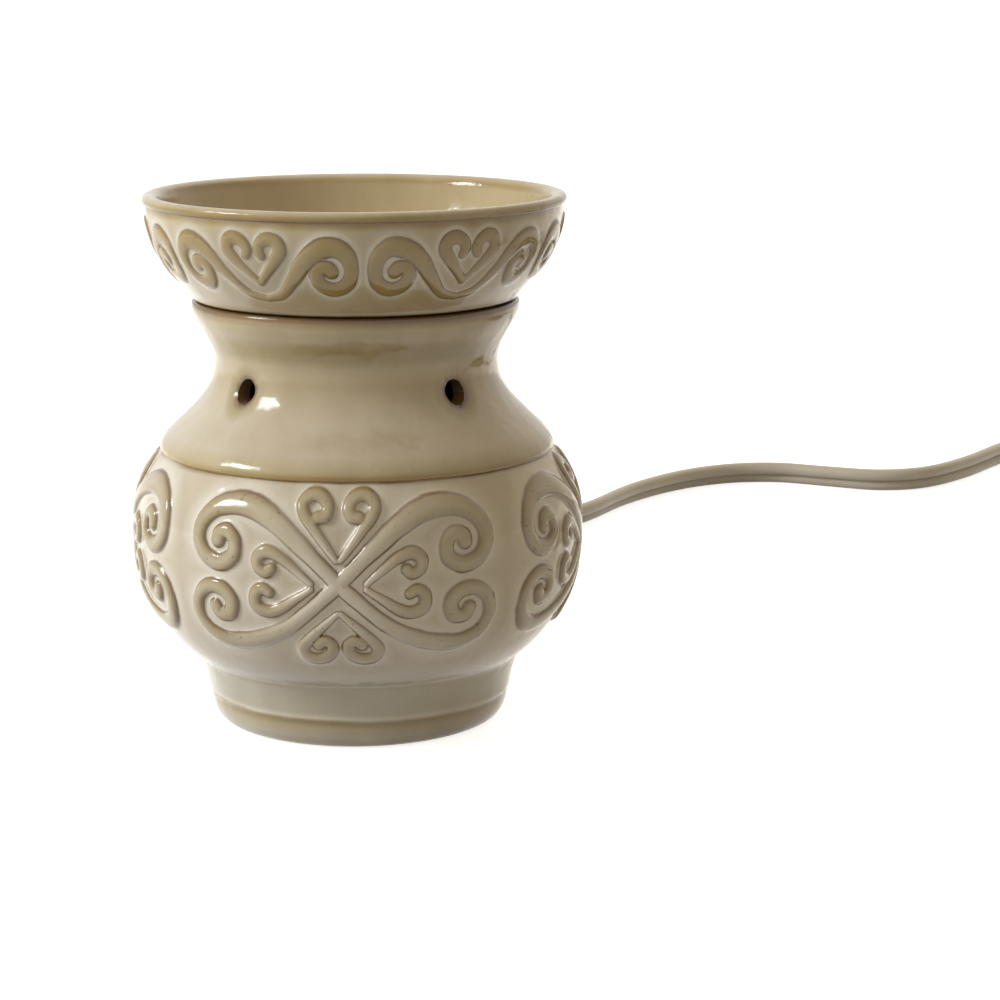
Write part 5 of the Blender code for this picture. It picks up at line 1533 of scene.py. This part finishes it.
@dataclass(frozen=True)
class SoftEdges:
    """Redraws a hard-edged CAD solid with rounded edges and smooth curves."""

    node: str
    name: str
    slot: Slot
    width: float = 0.35 * MM
    segments: int = 3
    sharp: float = math.radians(36)
    flat: float = math.radians(0.5)

    def build(self) -> None:
        """Redraws the solid where it rides."""
        bm = bmesh.new()
        bm.from_mesh(frame["nodes"][self.node].data)
        bmesh.ops.remove_doubles(bm, verts=bm.verts[:], dist=WELD)
        bmesh.ops.dissolve_limit(bm, angle_limit=self.flat, verts=bm.verts[:], edges=bm.edges[:])
        edges = [e for e in bm.edges if e.is_manifold and e.calc_face_angle(0.0) > self.sharp]
        bmesh.ops.bevel(
            bm, geom=edges, offset=self.width, segments=self.segments, profile=0.5, affect="EDGES",
            clamp_overlap=True,
        )
        mesh = bpy.data.meshes.new(self.name)
        bm.to_mesh(mesh)
        bm.free()
        piece = finished(mesh, self.slot, self.sharp)
        bodies = frame["record"]["behaviour"]["bodies"]
        body = next(Body(label) for label, nodes in bodies.items() if self.node in nodes)
        placed(piece, body, self.slot, self.node)


SOFT_EDGED = (
    SoftEdges("switch_lower_shell", "switch_base", Slot.IVORY),
    SoftEdges("switch_upper_shell", "switch_cover", Slot.IVORY),
    SoftEdges("plug_blade_live", "live_blade", Slot.BRASS, 0.25 * MM),
    SoftEdges("plug_blade_neutral", "neutral_blade", Slot.BRASS, 0.25 * MM),
    SoftEdges("cord_tie", "coil_strap", Slot.BROWN, 0.25 * MM),
    SoftEdges("socket_body", "lamp_holder", Slot.PHENOLIC),
    SoftEdges("bulb_glass", "lamp_bulb", Slot.GLASS, 0.05 * MM, 1),
    SoftEdges("clamp_bridge", "holder_bridge", Slot.STEEL, 0.2 * MM),
    SoftEdges("base_plate", "cover_plate", Slot.STEEL, 0.2 * MM),
    SoftEdges("base_nut", "plate_nut", Slot.STEEL, 0.25 * MM),
    SoftEdges("bridge_nut", "holder_nut", Slot.STEEL, 0.25 * MM),
)


@dataclass
class Wiring:
    """The two cores from the strain relief to the screws of the lamp holder."""

    diameter: float = 2.8 * MM
    apart: float = 2.1 * MM
    ends: Point3 = (14.9 * MM, 2.9 * MM, 20.8 * MM)
    step: float = 1.0 * MM

    def build(self) -> None:
        """Lays both cores from the strain relief to the given ends."""
        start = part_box("cord_strain_relief")[0].y - GAP
        end_x, end_y, end_z = self.ends
        core = FlatCord(self.diameter, self.diameter, 0.0, self.step)
        for name, node, slot, side in (
            ("live_core", "wire_live", Slot.LIVE, 1), ("neutral_core", "wire_neutral", Slot.NEUTRAL, -1)
        ):
            stations = [
                (side * self.apart, start, EXIT_HEIGHT, 0),
                (side * self.apart, start - self.diameter, EXIT_HEIGHT, 0),
                (side * 0.6 * end_x, (start + end_y) / 2, (EXIT_HEIGHT + end_z) / 2, 0),
                (side * end_x, end_y + 2 * self.diameter, end_z, 0),
                (side * end_x, end_y, end_z, 0),
            ]
            route = even_line(smooth_line(stations, SPAN_POINTS), core.step)
            core.lay(name, route, slot, node)


@dataclass(frozen=True)
class Lamp:
    """A soft rectangular lamp that faces the warmer, mirrored in its glaze or not."""

    name: str
    place: Point3
    size: Point2
    watts: float
    mirrored: bool = False
    colour: Colour = (0.96, 1.0, 1.04)
    aim: Point3 = (0, 0, 0.07)

    def build(self) -> None:
        """Hangs the lamp."""
        data = bpy.data.lights.new(self.name, "AREA")
        data.shape = "RECTANGLE"
        data.size, data.size_y = self.size
        data.energy = self.watts
        data.color = self.colour
        lamp = show(self.name, data)
        lamp.location = self.place
        lamp.rotation_euler = (Vector(self.aim) - Vector(self.place)).to_track_quat("-Z", "Y").to_euler()
        lamp.visible_glossy = self.mirrored


@dataclass
class Studio:
    """Camera, soft light and a white surround."""

    lens: float = 96.7
    sensor: float = 36.0
    place: Point3 = (0.04128, -0.65620, 0.1929)
    pitch: float = 78.054
    yaw: float = 0.513
    lamps: tuple[Lamp, ...] = (
        Lamp("key", (-1.06, -0.22, 0.45), (0.6, 0.8), 5.6),
        Lamp("glint", (-1.03, -0.28, 0.75), (0.38, 0.28), 5.8, True),
        Lamp("fill", (0.62, 1.20, 0.80), (0.8, 0.8), 7.0, colour=(1.0, 0.92, 0.76)),
    )
    floor_half: float = 6.0
    floor_bounce: float = 0.42
    floor_shade: float = 0.90
    floor_glow: float = 0.78
    sky_left: Colour = (1.0, 0.89, 0.71)
    sky_right: Colour = (0.97, 0.80, 0.52)
    sky_level: float = 0.24
    sky_rise: float = 0.30
    sky_turn: Point2 = (-0.6, 0.8)  # where its colour changes from left to right

    def camera(self) -> None:
        """Sets up the camera that took the picture."""
        data = bpy.data.cameras.new("camera")
        data.lens = self.lens
        data.sensor_width = self.sensor
        camera = show("camera", data)
        camera.location = self.place
        camera.rotation_euler = (math.radians(self.pitch), 0, math.radians(self.yaw))
        bpy.context.scene.camera = camera

    @staticmethod
    def shown(graph: Graph, lights: Socket, seen: Socket, output: str) -> None:
        """Ends a tree with one shader for what it lights and another for what is seen of it.

        Args:
            graph: the nodes of the floor or the world.
            lights: the shader that lights the pieces.
            seen: the shader seen straight, in a reflection or through glass.
            output: the name of the tree's output node.
        """
        path = graph.add("ShaderNodeLightPath").outputs
        either = graph.math("MAXIMUM", path["Is Glossy Ray"], path["Is Transmission Ray"])
        share = graph.math("MAXIMUM", path["Is Camera Ray"], either)
        mixed = graph.add("ShaderNodeMixShader", {0: share, 1: lights, 2: seen}).outputs[0]
        graph.tree.links.new(mixed, graph.tree.nodes[output].inputs["Surface"])

    def floor(self) -> None:
        """Lays a pale floor that is white to the camera and keeps the shadow."""
        bm = bmesh.new()
        bmesh.ops.create_grid(bm, x_segments=1, y_segments=1, size=self.floor_half)
        mesh = bpy.data.meshes.new("floor")
        bm.to_mesh(mesh)
        bm.free()
        material = bpy.data.materials.new("floor_white")
        material.use_nodes = True
        graph = Graph(material.node_tree)
        graph.tree.nodes.remove(graph.tree.nodes["Principled BSDF"])
        bounce, shaded = (
            graph.add("ShaderNodeBsdfDiffuse", {"Color": (grey, grey, grey, 1)}).outputs[0]
            for grey in (self.floor_bounce, self.floor_shade)
        )
        glow = {"Color": (*WHITE, 1), "Strength": self.floor_glow}
        bright = graph.add("ShaderNodeEmission", glow).outputs[0]
        seen = graph.add("ShaderNodeAddShader", {0: shaded, 1: bright}).outputs[0]
        self.shown(graph, bounce, seen, "Material Output")
        mesh.materials.append(material)
        show("floor", mesh)

    def world(self) -> None:
        """Puts white behind everything, and a soft warm light on the warmer."""
        world = bpy.data.worlds.new("studio")
        world.use_nodes = True
        bpy.context.scene.world = world
        graph = Graph(world.node_tree)
        white = graph.add("ShaderNodeBackground", {"Color": (*WHITE, 1), "Strength": 1.0}).outputs[0]
        aside, _, up = graph.split(graph.add("ShaderNodeTexCoord").outputs["Generated"])
        level = graph.total(graph.product(graph.math("MAXIMUM", up, 0.0), self.sky_rise), self.sky_level)
        inputs = {0: graph.remap(aside, *self.sky_turn), 6: (*self.sky_left, 1), 7: (*self.sky_right, 1)}
        warmth = graph.add("ShaderNodeMix", inputs, data_type="RGBA").outputs[2]
        soft = graph.add("ShaderNodeBackground", {"Color": warmth, "Strength": level}).outputs[0]
        self.shown(graph, soft, white, "World Output")

    def build(self) -> None:
        """Sets the whole studio up."""
        self.camera()
        for lamp in self.lamps:
            lamp.build()
        self.floor()
        self.world()
        bpy.context.scene.view_settings.view_transform = "Standard"


FINISHES = (
    Finish(Slot.GLAZE, Tint.CREAM.value, 0.25),
    Finish(Slot.STEEL, (0.60, 0.61, 0.63), 0.34, 1.0, 700.0),
    Finish(Slot.BRASS, (0.76, 0.56, 0.26), 0.28, 1.0, 800.0),
    Finish(Slot.NICKEL, (0.68, 0.66, 0.62), 0.26, 1.0, 800.0),
    Finish(Slot.PHENOLIC, (0.045, 0.040, 0.036), 0.42),
    Finish(Slot.BLACK_GLASS, (0.025, 0.025, 0.03), 0.18),
    Finish(Slot.GLASS, (0.93, 0.95, 0.95), 0.05, transmission=1.0, depth=0.004 * MM, variation=0.02),
    Finish(Slot.RUBBER, (0.62, 0.60, 0.55), 0.5),
    Finish(Slot.CORD, (0.535, 0.480, 0.382), 0.36, grain=500.0, variation=0.05),
    Finish(Slot.LIVE, (0.05, 0.045, 0.045), 0.45),
    Finish(Slot.NEUTRAL, (0.72, 0.71, 0.67), 0.45),
    Finish(Slot.IVORY, (0.50, 0.44, 0.34), 0.38, variation=0.05),
    Finish(Slot.BROWN, (0.10, 0.068, 0.048), 0.38),
)


def dress_nodes() -> None:
    """Gives each CAD node the look of its material slot."""
    looks = {slot.value: look(slot) for slot in Slot}
    for node in frame["nodes"].values():
        for slot in node.material_slots:
            label = slot.material.name.split(".")[0] if slot.material else ""
            if label in looks:
                slot.material = looks[label]
            else:
                log.warning("%s has no look for %s", node.name, label)


def main() -> None:
    """Builds every piece and the studio."""
    logging.basicConfig(level=logging.INFO, format="%(name)s: %(message)s")
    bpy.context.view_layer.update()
    Studio().build()
    dress_nodes()
    WarmerBody("glazed_body", Body.WARMER, "body_shell", 760, BELLY_ORNAMENT, BODY_GLAZE).build()
    WaxDish("glazed_dish", Body.DISH, "wax_dish", 960, DISH_ORNAMENT, DISH_GLAZE).build()
    for piece in (*SOFT_EDGED, ThumbWheel(), StrainRelief(), PlugMoulding(), Wiring(), CordRun()):
        piece.build()


if __name__ == "__main__":
    main()
